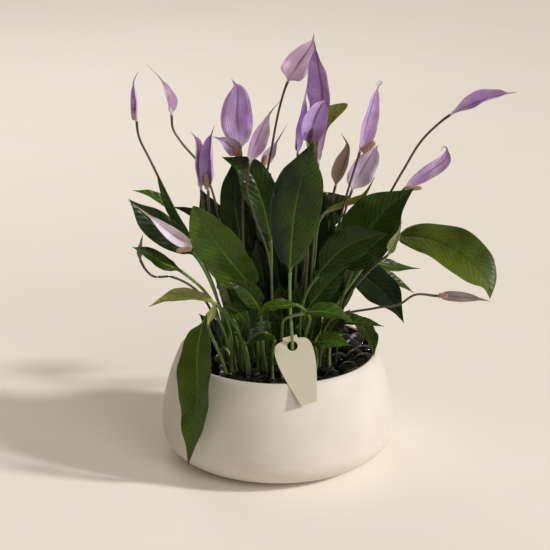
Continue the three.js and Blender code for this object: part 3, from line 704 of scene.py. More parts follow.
def connect(tree, shader, colour, roughness, height, distance, strength):
    """Feeds the shader's colour and roughness, and its normal through a bump of that many millimetres."""
    tree.links.new(colour, shader.inputs["Base Color"])
    if roughness is not None:
        tree.links.new(roughness, shader.inputs["Roughness"])
    values = {"Height": height, "Distance": distance * MM, "Strength": strength}
    tree.links.new(add_node(tree, "Bump", values).outputs[0], shader.inputs["Normal"])


def ceramic_material():
    """Matte cream glaze: cloudy, with turning lines, a fine tooth and a few dark specks."""
    material, tree, shader = new_material("cream_ceramic", 0.6)
    patches, grain = mottle(tree, 18.0, 900.0, 0.25)
    body = base_coat(tree, patches, (203, 196, 186), (214, 207, 198))
    turning = cloud(tree, 1.0, detail=2.0, stretch=(3, 3, 420))
    body = layer(tree, body, spread(tree, turning, 0.35, 0.7, 0.0, 0.06), (200, 189, 172))
    body = layer(tree, body, specks(tree, 260.0, 0.14, 0.05), (176, 158, 134), 0.35)
    body = layer(tree, body, specks(tree, 60.0, 0.07, 0.07), (120, 98, 76), 0.7)
    roughness = spread(tree, patches, 0.0, 1.0, 0.52, 0.68)
    height = plus(tree, times(tree, turning, 0.12), grain)
    connect(tree, shader, body, roughness, height, distance=0.1, strength=0.3)
    return material


def soil_material():
    material, tree, shader = new_material("potting_soil", 0.95)
    patches, grain = mottle(tree, 180.0, 900.0, 0.5)
    colour = base_coat(tree, patches, (24, 17, 12), (66, 48, 34))
    colour = layer(tree, colour, specks(tree, 320.0, 0.3, 0.12), (128, 104, 78))
    connect(tree, shader, colour, None, grain, distance=1.5, strength=0.9)
    return material


def pebble_material():
    """Polished near-black stone: faint pale lines, partly seams and partly painted warm reflections, and
    some stones a little browner.
    """
    material, tree, shader = new_material("polished_pebble", 0.12, Coat_Weight=0.35, Coat_Roughness=0.06)
    patches, grain = mottle(tree, 70.0, 700.0, 0.3)
    colour = base_coat(tree, patches, (3, 3, 3), (13, 11, 10))
    brown = spread(tree, trait(tree, "tone"), 0.75, 1.0, 0.0, 0.6)
    colour = layer(tree, colour, brown, (34, 26, 22))
    # Thin pinkish lines over the stones: partly seams in the stone, partly painted warm reflections.
    seam_and_glint = cloud(tree, 55.0, detail=4.0, stretch=(1, 1, 3))
    off_line = calc(tree, "ABSOLUTE", calc(tree, "SUBTRACT", seam_and_glint, 0.5))
    seam_and_glint = calc(tree, "SUBTRACT", 1.0, times(tree, off_line, 26.0), clamp=True)
    colour = layer(tree, colour, seam_and_glint, (110, 84, 72), 0.1)
    roughness = spread(tree, patches, 0.0, 1.0, 0.08, 0.22)
    connect(tree, shader, colour, roughness, grain, distance=0.1, strength=0.2)
    return material


def card_material():
    """Uncoated beige card with paper fibres."""
    material, tree, shader = new_material("tag_card", 0.85)
    fibres = cloud(tree, 260.0, detail=6.0, stretch=(1, 5, 1), roughness=0.7)
    patches, grain = mottle(tree, 50.0, 1600.0, 0.4)
    colour = base_coat(tree, spread(tree, fibres, 0.35, 0.65), (200, 192, 172), (206, 198, 179))
    colour = layer(tree, colour, patches, (211, 203, 184), 0.35)
    connect(tree, shader, colour, None, plus(tree, fibres, grain), distance=0.12, strength=0.4)
    return material


def leaf_material(name, gloss, shine, deep, bright, under, rib):
    """A leaf's skin: pale midrib, side veins, mottling and painted light on one half above, and a duller,
    lighter underside.
    """
    material, tree, shader = new_material(name, gloss, Specular_IOR_Level=shine)
    share_along = trait(tree, "share_along")
    patches, grain = mottle(tree, 34.0, 520.0, 0.3)
    veins = use_group(tree, SIDE_VEINS)
    # The tone trait holds the leaf's own random tone plus painted light that makes one half of it lighter.
    share = plus(tree, times(tree, patches, 0.5), times(tree, trait(tree, "tone"), 0.6))
    skin = base_coat(tree, share, deep, bright)
    margin = spread(tree, calc(tree, "ABSOLUTE", trait(tree, "share_across")), 0.9, 1.0, 0.0, 0.45)
    skin = layer(tree, skin, margin, bright)
    skin = layer(tree, skin, veins["Lines"], deep, 0.35)
    below = spread(tree, trait(tree, "side"), -0.2, 0.2, 1.0, 0.0)
    skin = layer(tree, skin, below, under, 0.75)
    skin = layer(tree, skin, times(tree, veins["Lines"], below), rib, 0.4)
    rib_width = spread(tree, share_along, 0.0, 0.9, 1.5, 0.35)
    from_rib = calc(tree, "DIVIDE", calc(tree, "ABSOLUTE", trait(tree, "across")), rib_width)
    midrib = spread(tree, from_rib, 0.3, 0.95, 0.8, 0.0)
    skin = layer(tree, skin, midrib, rib, spread(tree, share_along, 0.1, 0.8, 1.0, 0.2))
    skin = layer(tree, skin, spread(tree, share_along, 0.0, 0.05, 0.8, 0.0), rib)
    sheen = spread(tree, patches, 0.0, 1.0, gloss - 0.05, gloss + 0.06)
    roughness = plus(tree, sheen, times(tree, below, 0.22))
    height = plus(tree, times(tree, veins["Pillows"], 0.9), times(tree, grain, 0.5))
    connect(tree, shader, skin, roughness, height, distance=0.35, strength=0.5)
    return material


def petiole_material():
    """A petiole's skin: yellow-green at the foot, greener and striped further up."""
    material, tree, shader = new_material("petiole_skin", 0.38, Coat_Weight=0.1, Coat_Roughness=0.3)
    rise = trait(tree, "share_along")
    stripes = cloud(tree, 1.0, detail=3.0, stretch=(900, 900, 40))
    patches = mottle(tree, 60.0, 700.0, 0.4)[0]
    colour = base_coat(tree, spread(tree, rise, 0.05, 0.6), (136, 150, 78), (92, 122, 48))
    colour = layer(tree, colour, spread(tree, stripes, 0.4, 0.65), (158, 172, 98), 0.4)
    colour = layer(tree, colour, patches, (64, 92, 34), 0.35)
    colour = layer(tree, colour, trait(tree, "tone"), (48, 72, 28), 0.55)
    colour = layer(tree, colour, spread(tree, rise, 0.0, 0.12, 0.5, 0.0), (150, 134, 92))
    connect(tree, shader, colour, None, stripes, distance=0.25, strength=0.4)
    return material


def flower_stalk_material():
    """A flower stalk's skin: green at the foot, olive-brown to dull purple under the spathe."""
    material, tree, shader = new_material("flower_stalk_skin", 0.42, Coat_Weight=0.08, Coat_Roughness=0.3)
    rise = trait(tree, "share_along")
    stripes = cloud(tree, 1.0, detail=3.0, stretch=(900, 900, 50))
    patches = mottle(tree, 70.0, 800.0, 0.4)[0]
    colour = base_coat(tree, spread(tree, rise, 0.25, 0.7), (76, 94, 38), (60, 56, 34))
    colour = layer(tree, colour, spread(tree, rise, 0.8, 1.0, 0.0, 0.8), (60, 42, 44))
    colour = layer(tree, colour, spread(tree, stripes, 0.4, 0.65), (120, 112, 74), 0.35)
    colour = layer(tree, colour, patches, (48, 44, 30), 0.35)
    connect(tree, shader, colour, None, stripes, distance=0.2, strength=0.4)
    return material


def spathe_material(name, tip_start, body, light, rib, tip, throat):
    """A spathe's skin: fine long veins, a darker midrib, a drawn tip, a pale throat, a painted highlight
    along its edges and painted light on one half.
    """
    material, tree, shader = new_material(
        name, 0.42, Sheen_Weight=0.15, Sheen_Roughness=0.4, Subsurface_Weight=0.12, Subsurface_Scale=0.002
    )
    along = trait(tree, "share_along")
    middle = calc(tree, "ABSOLUTE", trait(tree, "share_across"))
    patches, grain = mottle(tree, 55.0, 600.0, 0.35)
    veins = use_group(tree, LONG_VEINS)["Lines"]
    # The tone trait holds the spathe's own random tone plus painted light that makes one half of it
    # lighter.
    share = plus(tree, times(tree, patches, 0.6), times(tree, trait(tree, "tone"), 0.5))
    skin = base_coat(tree, share, body, light)
    skin = layer(tree, skin, veins, rib, 0.28)
    blush = cloud(tree, 38.0, detail=3.0, stretch=(1, 1, 0.6))
    skin = layer(tree, skin, spread(tree, blush, 0.48, 0.62, 0.0, 0.45), body)
    # A lighter band along both edges: a painted highlight on the rolled margins.
    skin = layer(tree, skin, spread(tree, middle, 0.86, 1.0, 0.0, 0.75), light)
    skin = layer(tree, skin, spread(tree, along, 0.0, 0.22, 0.75, 0.0), throat)
    stain = calc(tree, "SUBTRACT", cloud(tree, 80.0, detail=4.0), 0.5)
    reach = plus(tree, along, times(tree, stain, 0.3))
    skin = layer(tree, skin, spread(tree, reach, tip_start, 1.0, 0.0, 0.95), tip)
    midrib = spread(tree, middle, 0.03, 0.13, 0.75, 0.0)
    skin = layer(tree, skin, midrib, rib, spread(tree, along, 0.1, 0.4, 0.3, 1.0))
    roughness = spread(tree, patches, 0.0, 1.0, 0.36, 0.5)
    height = plus(tree, times(tree, veins, 1.2), times(tree, grain, 0.5))
    connect(tree, shader, skin, roughness, height, distance=0.3, strength=0.55)
    return material


def spadix_material(name, knob, pit):
    """A spadix: packed knobs with darker pits between them."""
    material, tree, shader = new_material(name, 0.6)
    patches, grain = mottle(tree, 160.0, 1400.0, 0.5)
    colour = base_coat(tree, spread(tree, trait(tree, "knob"), 0.15, 0.7), pit, knob)
    colour = layer(tree, colour, patches, pit, 0.4)
    connect(tree, shader, colour, None, grain, distance=0.2, strength=0.5)
    return material


def floor_material():
    material, tree, shader = new_material("pale_floor", 0.8)
    patches, grain = mottle(tree, 3.0, 160.0, 0.2)
    colour = base_coat(tree, patches, (254, 247, 236), (255, 249, 240))
    connect(tree, shader, colour, None, grain, distance=0.1, strength=0.15)
    return material


# A leaf look is (roughness, shine, deep colour, bright colour, underside, rib).
LEAF_LOOKS = {
    "dark": (0.32, 0.22, (10, 20, 2), (40, 62, 6), (54, 76, 16), (84, 108, 24)),
    # The varied look spans the widest greens, which carry the painted light on one half of the tall front
    # leaf.
    "varied_and_lit_half": (0.3, 0.22, (8, 16, 2), (56, 82, 10), (56, 80, 16), (84, 110, 24)),
    # The shaded look is a darker, duller copy of the leaf skin: painted shade for a leaf that faces away
    # from the light.
    "shaded": (0.6, 0.05, (5, 10, 2), (22, 34, 6), (32, 46, 12), (46, 64, 14)),
    "mid": (0.32, 0.22, (24, 40, 4), (62, 86, 12), (82, 104, 28), (106, 128, 40)),
    "light": (0.36, 0.22, (26, 46, 4), (66, 92, 14), (84, 108, 30), (108, 130, 44)),
    "ribbed": (0.4, 0.22, (46, 62, 8), (98, 112, 26), (96, 110, 34), (56, 62, 26)),
    "pale": (0.45, 0.22, (150, 158, 84), (198, 202, 138), (186, 190, 120), (206, 208, 150)),
    "olive": (0.44, 0.22, (84, 88, 34), (138, 142, 72), (126, 130, 72), (156, 158, 98)),
}

# A spathe look is (where its tip's colour starts, body, light patches and painted edge highlight, rib,
# tip, throat).
SPATHE_LOOKS = {
    "lilac": (0.78, (162, 122, 198), (218, 192, 224), (126, 90, 146), (84, 70, 54), (216, 202, 222)),
    "ribbed": (0.78, (214, 176, 222), (250, 230, 248), (112, 70, 98), (90, 70, 58), (206, 182, 204)),
    "deep": (0.78, (142, 100, 188), (216, 186, 230), (88, 56, 104), (76, 58, 60), (170, 138, 190)),
    "pale": (0.78, (184, 158, 200), (214, 198, 224), (132, 112, 110), (132, 124, 92), (222, 214, 206)),
    "mauve": (0.78, (154, 120, 164), (202, 176, 202), (104, 74, 78), (92, 74, 56), (198, 180, 192)),
    "old": (0.6, (172, 154, 118), (222, 198, 206), (108, 88, 58), (88, 72, 48), (186, 178, 146)),
    "white": (0.62, (206, 188, 210), (232, 222, 232), (132, 120, 84), (112, 104, 62), (230, 224, 220)),
    "withered": (0.6, (128, 116, 96), (164, 148, 150), (84, 66, 46), (104, 96, 66), (122, 110, 72)),
    "bud": (0.7, (146, 160, 96), (196, 202, 150), (112, 122, 66), (128, 134, 74), (186, 194, 146)),
}

# A spadix look is (knobs, pits).
SPADIX_LOOKS = {
    "tan": ((206, 178, 156), (132, 98, 84)),
    "peach": ((226, 192, 162), (164, 116, 92)),
    "brown": ((128, 96, 88), (62, 40, 48)),
}
SPADIX_OF_SPATHE = {
    "lilac": "tan", "ribbed": "tan", "deep": "brown", "pale": "peach", "mauve": "brown",
    "old": "tan", "white": "peach", "withered": "tan", "bud": "tan",
}

PETIOLE_SKIN = petiole_material()
FLOWER_STALK_SKIN = flower_stalk_material()
LEAF_SKINS = {look: leaf_material("leaf_" + look, *values) for look, values in LEAF_LOOKS.items()}
SPATHE_SKINS = {look: spathe_material("spathe_" + look, *values) for look, values in SPATHE_LOOKS.items()}
SPADIX_SKINS = {look: spadix_material("spadix_" + look, *values) for look, values in SPADIX_LOOKS.items()}

# ---- Meshes


def put_in_scene(name, data):
    holder = bpy.data.objects.new(name, data)
    bpy.context.collection.objects.link(holder)
    return holder


def add_piece(name, points, faces, material, nodes=(), traits=None):
    """Adds a piece from points in millimetres. Traits are numbers for its points, by name."""
    mesh = bpy.data.meshes.new(name)
    mesh.from_pydata((np.asarray(points, float) * MM).tolist(), [], faces)
    for label, numbers in (traits or {}).items():
        values = np.asarray(numbers, np.float32)
        mesh.attributes.new(label, "FLOAT", "POINT").data.foreach_set("value", values)
    mesh.materials.append(material)
    mesh.shade_smooth()
    mesh.update()
    piece = put_in_scene(name, mesh)
    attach(piece, "root")
    if nodes:
        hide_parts(*nodes)
    return piece


def skin_faces(rings, around):
    """The faces of a closed skin over so many rings of so many points."""
    faces = []
    for ring in range(rings - 1):
        for i in range(around):
            a = ring * around + i
            b = ring * around + (i + 1) % around
            faces.append((a, b, b + around, a + around))
    last = (rings - 1) * around
    faces.append(tuple(range(around - 1, -1, -1)))
    faces.append(tuple(range(last, last + around)))
    return faces


def smooth_step(value, low, high):
    """0 up to the low value and 1 from the high one, with an S-curve between."""
    share = np.clip((value - low) / (high - low), 0, 1)
    return share * share * (3 - 2 * share)


# ---- Pot and filling


def wall_radius(height):
    """The pot's outside radius from the belly up."""
    if height <= BELLY_HEIGHT:
        return BELLY_RADIUS
    rise = (height - BELLY_HEIGHT) / (POT_HEIGHT - BELLY_HEIGHT)
    return BELLY_RADIUS + (RIM_RADIUS - BELLY_RADIUS) * rise**2


def wall_profile(inset, steps):
    """(radius, height) points up the wall, from the foot's edge to just under the lip."""
    points = []
    for i in range(steps + 1):
        angle = math.pi / 2 * i / steps
        radius = FOOT_RADIUS + (BELLY_RADIUS - FOOT_RADIUS - inset) * math.sin(angle)
        height = BELLY_HEIGHT - (BELLY_HEIGHT - FOOT_STEP - inset) * math.cos(angle)
        points.append((radius, height))
    top = POT_HEIGHT - POT_WALL / 2
    for i in range(1, 2 * steps + 1):
        height = BELLY_HEIGHT + (top - BELLY_HEIGHT) * i / (2 * steps)
        points.append((wall_radius(height) - inset, height))
    return points


def turned(profile, segments, waver=0.0):
    """Points and faces of a closed profile turned round the pot's axis, each end of it on the axis."""
    points = []
    for radius, height in profile[1:-1]:
        for i in range(segments):
            angle = 2 * math.pi * i / segments
            spot = Vector((math.cos(angle), math.sin(angle), height / 30))
            reach = radius + waver * noise.noise(spot * 1.3)
            points.append((reach * math.cos(angle), reach * math.sin(angle), height))
    rings = len(profile) - 2
    faces = skin_faces(rings, segments)[:-2]
    first = len(points)
    points += [(0, 0, profile[0][1]), (0, 0, profile[-1][1])]
    last = (rings - 1) * segments
    for i in range(segments):
        follow = (i + 1) % segments
        faces.append((first, follow, i))
        faces.append((first + 1, last + i, last + follow))
    return points, faces


def make_pot():
    """The pot's skin, turned from one outline: foot, outside, rounded lip and inside."""
    lip = POT_WALL / 2
    arc = [math.pi * i / 10 for i in range(1, 10)]
    top = POT_HEIGHT - lip
    rounded = [(RIM_RADIUS - lip + lip * math.cos(a), top + lip * math.sin(a)) for a in arc]
    foot = [(0, 0), (FOOT_RADIUS - 8, 0), (FOOT_RADIUS - 1.6, 0)]
    foot += [(FOOT_RADIUS - 0.5, 0.5), (FOOT_RADIUS, FOOT_STEP / 2), (FOOT_RADIUS, FOOT_STEP - 0.6)]
    inside = [(FOOT_RADIUS, POT_FLOOR + 0.4), (FOOT_RADIUS - 3, POT_FLOOR), (0, POT_FLOOR)]
    outline = foot + wall_profile(0, 18) + rounded + wall_profile(POT_WALL, 8)[::-1] + inside
    points, faces = turned(outline, POT_SEGMENTS, waver=POT_WAVER)
    add_piece("pot_body", points, faces, ceramic_material(), ["pot"])


def make_soil():
    """The soil up to the pebbles, with a lumpy top."""
    rings = [(wall_radius(h) - POT_WALL - BED_GAP - 0.3, h) for h in (10, 22, 34, 50, 66, 80)]
    rings[0] = (FOOT_RADIUS, SOIL_FOOT)
    top = [(radius, SOIL_TOP - 1.2) for radius in range(108, 2, -3)]
    outline = [(0, SOIL_FOOT), (40, SOIL_FOOT)] + rings + top + [(0, SOIL_TOP - 1)]
    points, faces = turned(outline, SOIL_SEGMENTS)
    spots = np.array(points)
    for i, spot in enumerate(spots):
        if spot[2] > 80:
            spots[i][2] += 1.6 * noise.noise(Vector(spot) / 7) + 0.9 * noise.noise(Vector(spot) / 2.2)
    add_piece("soil_fill", spots, faces, soil_material(), ["potting_soil"])


PEBBLE_LAYERS = [
    dict(count=50, height=93, length=31, edge=14.5, heap=3),
    dict(count=40, height=98, length=29, edge=15, heap=6),
]
PEBBLE_LENGTHS = (0.84, 1.14)
PEBBLE_BREADTHS = (0.68, 0.86)
PEBBLE_FLATNESS = 0.5
PEBBLE_HEIGHTS = (0.86, 1.08)
PEBBLE_TILT = 0.4
PEBBLE_BUMP = 0.16
PEBBLE_PACKING = 0.92
HEAPED_LENGTH = 26

# More stones are heaped against the wall at the back and the right: (bearing, radius, height).
HEAPED_PEBBLES = [
    (-34, 92, 104), (-24, 82, 105), (-14, 93, 108), (-4, 82, 108), (5, 93, 110), (14, 82, 108),
    (23, 93, 110), (32, 82, 109), (41, 93, 110), (50, 82, 108), (59, 92, 109), (70, 88, 107),
    (112, 88, 107), (124, 93, 108), (136, 84, 107), (148, 93, 108), (160, 84, 106), (172, 92, 107),
    (184, 86, 105), (196, 92, 104),
]


def spaced_spots(count, reach, gap, seed):
    """Spots inside a circle, pushed apart until they lie evenly."""
    chance = random.Random(seed)
    turn = math.pi * (3 - math.sqrt(5))
    spots = []
    for n in range(count):
        radius = reach * math.sqrt((n + 0.5) / count)
        angle = n * turn + chance.uniform(-0.25, 0.25)
        spots.append((radius * math.cos(angle), radius * math.sin(angle)))
    spots = np.array(spots) + np.array([[chance.gauss(0, 3), chance.gauss(0, 3)] for _ in spots])
    for _ in range(40):
        apart = spots[:, None, :] - spots[None, :, :]
        distance = np.linalg.norm(apart, axis=2) + np.eye(count)
        push = np.clip(gap - distance, 0, None) * (1 - np.eye(count))
        spots += 0.25 * (apart / distance[:, :, None] * push[:, :, None]).sum(1)
        far = np.linalg.norm(spots, axis=1)
        spots *= np.minimum(1, reach / np.maximum(far, 1e-6))[:, None]
    return spots


def unit_ball(steps):
    shape = bmesh.new()
    bmesh.ops.create_icosphere(shape, subdivisions=steps, radius=0.5)
    points = np.array([v.co for v in shape.verts])
    faces = [tuple(v.index for v in face.verts) for face in shape.faces]
    shape.free()
    return points, faces


def make_pebbles():
    """Two layers of smooth, flattened stones up to the pot's wall, and those heaped against it."""
    ball, ball_faces = unit_ball(3)
    points, faces, tones, stones = [], [], [], []
    chance = random.Random(PEBBLE_SEED)
    for number, layer in enumerate(PEBBLE_LAYERS):
        reach = wall_radius(layer["height"]) - POT_WALL - layer["edge"] * PEBBLE_PACKING
        gap = layer["length"] * PEBBLE_PACKING
        for x, y in spaced_spots(layer["count"], reach, gap, PEBBLE_SPOT_SEED + number):
            lift = layer["heap"] * smooth_step(math.hypot(x, y), 55, 100)
            stones.append((x, y, layer["height"] + lift, layer["length"]))
    for bearing, radius, height in HEAPED_PEBBLES:
        angle = math.radians(bearing)
        stones.append((radius * math.cos(angle), radius * math.sin(angle), height, HEAPED_LENGTH))
    for x, y, z, size in stones:
        length = size * chance.uniform(*PEBBLE_LENGTHS)
        breadth = length * chance.uniform(*PEBBLE_BREADTHS)
        height = length * PEBBLE_FLATNESS * chance.uniform(*PEBBLE_HEIGHTS)
        spin = Matrix.Rotation(chance.uniform(0, math.pi), 3, "Z")
        tilt = Matrix.Rotation(chance.uniform(-PEBBLE_TILT, PEBBLE_TILT), 3, "X")
        roll = Matrix.Rotation(chance.uniform(-PEBBLE_TILT, PEBBLE_TILT), 3, "Y")
        shift = Vector((chance.uniform(0, 90), chance.uniform(0, 90), 0))
        bumps = [1 + PEBBLE_BUMP * noise.noise(Vector(p) * 1.3 + shift) for p in ball]
        stone = ball * np.array(bumps)[:, None] * np.array((length, breadth, height))
        stone = stone @ np.array(spin @ tilt @ roll).T + np.array((x, y, z))
        wall = np.array([wall_radius(z) for z in stone[:, 2]]) - POT_WALL - BED_GAP
        far = np.linalg.norm(stone[:, :2], axis=1)
        stone[:, :2] *= np.minimum(1, wall / np.maximum(far, 1))[:, None]
        faces += [tuple(i + len(points) for i in face) for face in ball_faces]
        points += stone.tolist()
        tones += [chance.random()] * len(stone)
    add_piece("pebbles", points, faces, pebble_material(), ["pebble_bed"], {"tone": tones})


# ---- Tag


def tag_outline():
    """The card's edge as (x, y) points, from its foot round to its foot again."""
    half, foot, neck = TAG_WIDTH / 2, TAG_FOOT_WIDTH / 2, TAG_NECK_WIDTH / 2
    widest = TAG_LENGTH - TAG_SHOULDER
    collar = TAG_LENGTH - TAG_NECK_LENGTH
    middle = foot + (half - foot) * 0.5
    side = [(foot, 0), (middle, widest * 0.4), (half, widest * 0.7), (half, widest)]
    shoulder = [(half, widest), (half, collar - 4), (half * 0.8, collar), (neck + 1, collar)]
    right = []
    for curve in (side, shoulder):
        corners = [Vector((x, y)) for x, y in curve]
        for i in range(14):
            t = i / 14
            weights = ((1 - t) ** 3, 3 * t * (1 - t) ** 2, 3 * t * t * (1 - t), t**3)
            spot = sum((w * c for w, c in zip(weights, corners)), Vector((0, 0)))
            right.append((spot.x, spot.y))
    right += [(neck + 1, collar), (neck + 0.2, collar + 0.9), (neck, TAG_LENGTH)]
    return right + [(-x, y) for x, y in reversed(right)]


def make_tag():
    """The card with its hole, hung from the tall leaf's stalk and leaning on the lip."""
    curve = bpy.data.curves.new("tag_outline", "CURVE")
    curve.dimensions = "2D"
    curve.fill_mode = "BOTH"
    curve.extrude = (TAG_THICKNESS / 2 - TAG_BEVEL) * MM
    curve.bevel_depth = TAG_BEVEL * MM
    curve.bevel_resolution = 2
    curve.offset = -TAG_BEVEL * MM
    ring = [2 * math.pi * i / 40 for i in range(40)]
    hole_y = TAG_LENGTH - TAG_HOLE_INSET
    hole = [(TAG_HOLE_RADIUS * math.cos(a), hole_y + TAG_HOLE_RADIUS * math.sin(a)) for a in ring]
    for spots in (tag_outline(), hole):
        spline = curve.splines.new("POLY")
        spline.points.add(len(spots) - 1)
        for point, (x, y) in zip(spline.points, spots):
            point.co = (x * MM, (y - TAG_OVERHANG) * MM, 0, 1)
        spline.use_cyclic_u = True
    holder = put_in_scene("tag_outline", curve)
    bpy.context.view_layer.update()
    mesh = bpy.data.meshes.new_from_object(holder)
    bpy.data.objects.remove(holder)
    mesh.name = "tag_card"
    turn = Matrix.Rotation(math.pi / 2 - TAG_LEAN, 4, "X") @ Matrix.Rotation(TAG_TURN, 4, "Z")
    mesh.transform(Matrix.Translation(TAG_SEAT * MM) @ turn)
    mesh.materials.clear()
    mesh.materials.append(card_material())
    card = put_in_scene("tag_card", mesh)
    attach(card, "root")
    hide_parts("plant_tag")


# ---- Stalks and blades

# A blade and a stalk are closed skins over rings of points: where each point lies across, from -1 to 1,
# and whether it is on the upper side (1), on the lower side (-1) or at an edge (0).


def ring_columns(top):
    ring = np.concatenate((top, top[-2:0:-1]))
    middle = np.ones(len(top) - 2)
    return ring, np.concatenate(([0], middle, [0], -middle))


HALF_COLUMNS = (0.02, 0.05, 0.1, 0.18, 0.28, 0.4, 0.52, 0.64, 0.75, 0.85, 0.93, 0.98, 1)
BLADE_RING, BLADE_SIDES = ring_columns(np.array([-u for u in reversed(HALF_COLUMNS)] + [0, *HALF_COLUMNS]))
STALK_RING, STALK_SIDES = ring_columns(np.array([-1, -0.92, -0.7, -0.38, 0, 0.38, 0.7, 0.92, 1]))


def growing_point(point):
    x, y, height = point
    return np.array((x, y, PEBBLE_TOP + height), float)


def draped_point(point):
    bearing, height, gap = point
    z = POT_HEIGHT + height
    radius = wall_radius(min(z, POT_HEIGHT)) + gap
    angle = math.radians(bearing)
    return np.array((radius * math.cos(angle), radius * math.sin(angle), z))


def curve_point(points, t):
    """A place on the smooth curve through the points, at t from 0 to 1."""
    last = len(points) - 1
    index = min(int(t * last), last - 1)
    w = t * last - index
    here, after = points[index], points[index + 1]
    before = points[index - 1] if index else 2 * here - after
    beyond = points[index + 2] if index + 2 <= last else 2 * after - here
    ends = ((before, here), (here, after), (after, beyond))
    d0, d1, d2 = (max(np.linalg.norm(b - a), 1e-4) ** 0.5 for a, b in ends)
    leave = ((here - before) / d0 - (after - before) / (d0 + d1) + (after - here) / d1) * d1
    reach = ((after - here) / d1 - (beyond - here) / (d1 + d2) + (beyond - after) / d2) * d1
    cubic = 2 * here - 2 * after + leave + reach
    square = 3 * after - 3 * here - 2 * leave - reach
    return ((cubic * w + square) * w + leave) * w + here


class Route:
    """An organ's path: places along it, their directions, and the way that the blade lies across."""

    def __init__(self, organ):
        root = np.array((*organ["root"], SOIL_TOP), float)
        stalk = [growing_point(p) for p in organ["stalk"]]
        blade = [growing_point(p) for p in organ["blade"]]
        blade += [draped_point(p) for p in organ.get("draped", [])]
        points = [root, *stalk, *blade]
        self.start = (1 + len(stalk)) / (len(stalk) + len(blade))
        self.times = np.linspace(0, 1, ROUTE_PLACES)
        self.places = np.array([curve_point(points, t) for t in self.times])
        steps = np.linalg.norm(np.diff(self.places, axis=0), axis=1)
        self.lengths = np.concatenate(([0], np.cumsum(steps)))
        self.start_length = float(np.interp(self.start, self.times, self.lengths))
        self.side = np.cross(blade[-1] - blade[0], np.array(organ["face"], float))
        self.side /= np.linalg.norm(self.side)

    def places_at(self, times):
        return np.stack([np.interp(times, self.times, axis) for axis in self.places.T], 1)

    def at(self, lengths):
        """The places, directions and times at these lengths along the route."""
        times = np.interp(lengths, self.lengths, self.times)
        along = self.places_at(times + LOOK_AHEAD) - self.places_at(times - LOOK_AHEAD)
        along /= np.linalg.norm(along, axis=1)[:, None]
        return self.places_at(times), along, times

    def frames(self, along, twist):
        """The across and up directions of each station, turned about the route by the twist."""
        across = self.side - along * (along @ self.side)[:, None]
        across /= np.linalg.norm(across, axis=1)[:, None]
        up = np.cross(across, along)
        cos, sin = np.cos(twist)[:, None], np.sin(twist)[:, None]
        return across * cos + up * sin, up * cos - across * sin


def lay_rings(places, across, up, u, v):
    """Rings of points, out across each station by u and up from it by v."""
    rings = places[:, None] + across[:, None] * u[:, :, None] + up[:, None] * v[:, :, None]
    return rings.reshape(-1, 3)


def round_section(radius, columns, sides):
    """Points round a stalk, in columns that match a blade's."""
    rise = np.sqrt(np.maximum(0, 1 - columns**2)) * sides
    return radius[:, None] * columns, radius[:, None] * rise


def stalk_radii(lengths, total, radius, swell, sheath):
    """A stalk's thickness: a sheath at its foot and a swelling under the blade."""
    foot = sheath * np.exp(-lengths / SHEATH_LENGTH)
    joint = swell * np.exp(-(((total - lengths) / SWELL_LENGTH) ** 2))
    return radius * (1 + foot + joint - STALK_TAPER * lengths / total)


def make_stalk(name, route, radius, material, nodes, tone, swell, sheath):
    total = route.start_length
    lengths = np.linspace(0, total, max(12, int(total / STALK_SPACING)))
    places, along, _ = route.at(lengths)
    along[0] = (0, 0, 1)
    across, up = route.frames(along, np.zeros(len(lengths)))
    radii = stalk_radii(lengths, total, radius, swell, sheath)
    u, v = round_section(radii, STALK_RING, STALK_SIDES)
    groove = STALK_GROOVE * np.exp(-((STALK_RING / 0.4) ** 2)) * (STALK_SIDES > 0)
    points = lay_rings(places, across, up, u, v - radii[:, None] * groove)
    share = np.repeat(lengths / total, len(STALK_RING))
    traits = {"share_along": share, "tone": np.full(len(share), tone)}
    faces = skin_faces(len(lengths), len(STALK_RING))
    add_piece(name, points, faces, material, nodes, traits)


def leaf_outline(t, fullness):
    """A leaf's width along it, from 0 to 1: full at two fifths, and drawn out to the tip."""
    swell = np.power(np.maximum(t, 1e-6) / WIDEST_AT, BASE_ROUNDNESS)
    outline = swell * (1 - t) / (1 - WIDEST_AT)
    return (outline * (1 - 0.4 * smooth_step(t, 0.6, 0.97))) ** fullness


def spathe_outline(t, tail, foot, taper):
    """A spathe's width along it: a body that narrows into a tail, which takes that share of its length.

    A low foot makes its base round, and a high taper draws it out towards the tail."""
    body = np.clip(t / (1 - tail), 1e-6, 1)
    peak = foot / (foot + taper)
    return np.power(body / peak, foot) * np.power((1 - body) / (1 - peak), taper)


def half_widths(t, gone, radius, form):
    """Half a blade's width at each station, never less than its thin tip or the end of its stalk."""
    tail = form["tail"]
    if tail:
        outline = spathe_outline(t, tail, *form["shape"])
        thin = form["tip"] * (0.3 + 2.6 * (1 - smooth_step(t, 1 - 1.4 * tail, 1.0)))
    else:
        outline = leaf_outline(t, form["fullness"])
        thin = form["tip"]
    half = np.maximum(form["width"] / 2 * outline, thin)
    return np.maximum(half, radius * (1 - smooth_step(gone, 0, STALK_UNDER_BLADE)))


def edge_waves(t, count, phases):
    """How the left and the right edge wave along a blade, each a long wave with a short one on it."""
    turn = 2 * math.pi * count * t
    left = np.sin(turn + phases[1]) + 0.5 * np.sin(2.3 * turn + phases[2])
    right = np.sin(1.1 * turn + phases[3]) + 0.5 * np.sin(2.1 * turn + phases[4])
    return np.where(BLADE_RING[None, :] < 0, left[:, None], right[:, None])


def crossing_folds(gone, out, fold, phases):
    """Two sets of soft folds that cross on a blade."""
    first = np.sin(gone / 6.1 / fold + out / 4.3 / fold + phases[0])
    return first + np.sin(gone / 4.7 / fold - out / 3.1 / fold + phases[2])


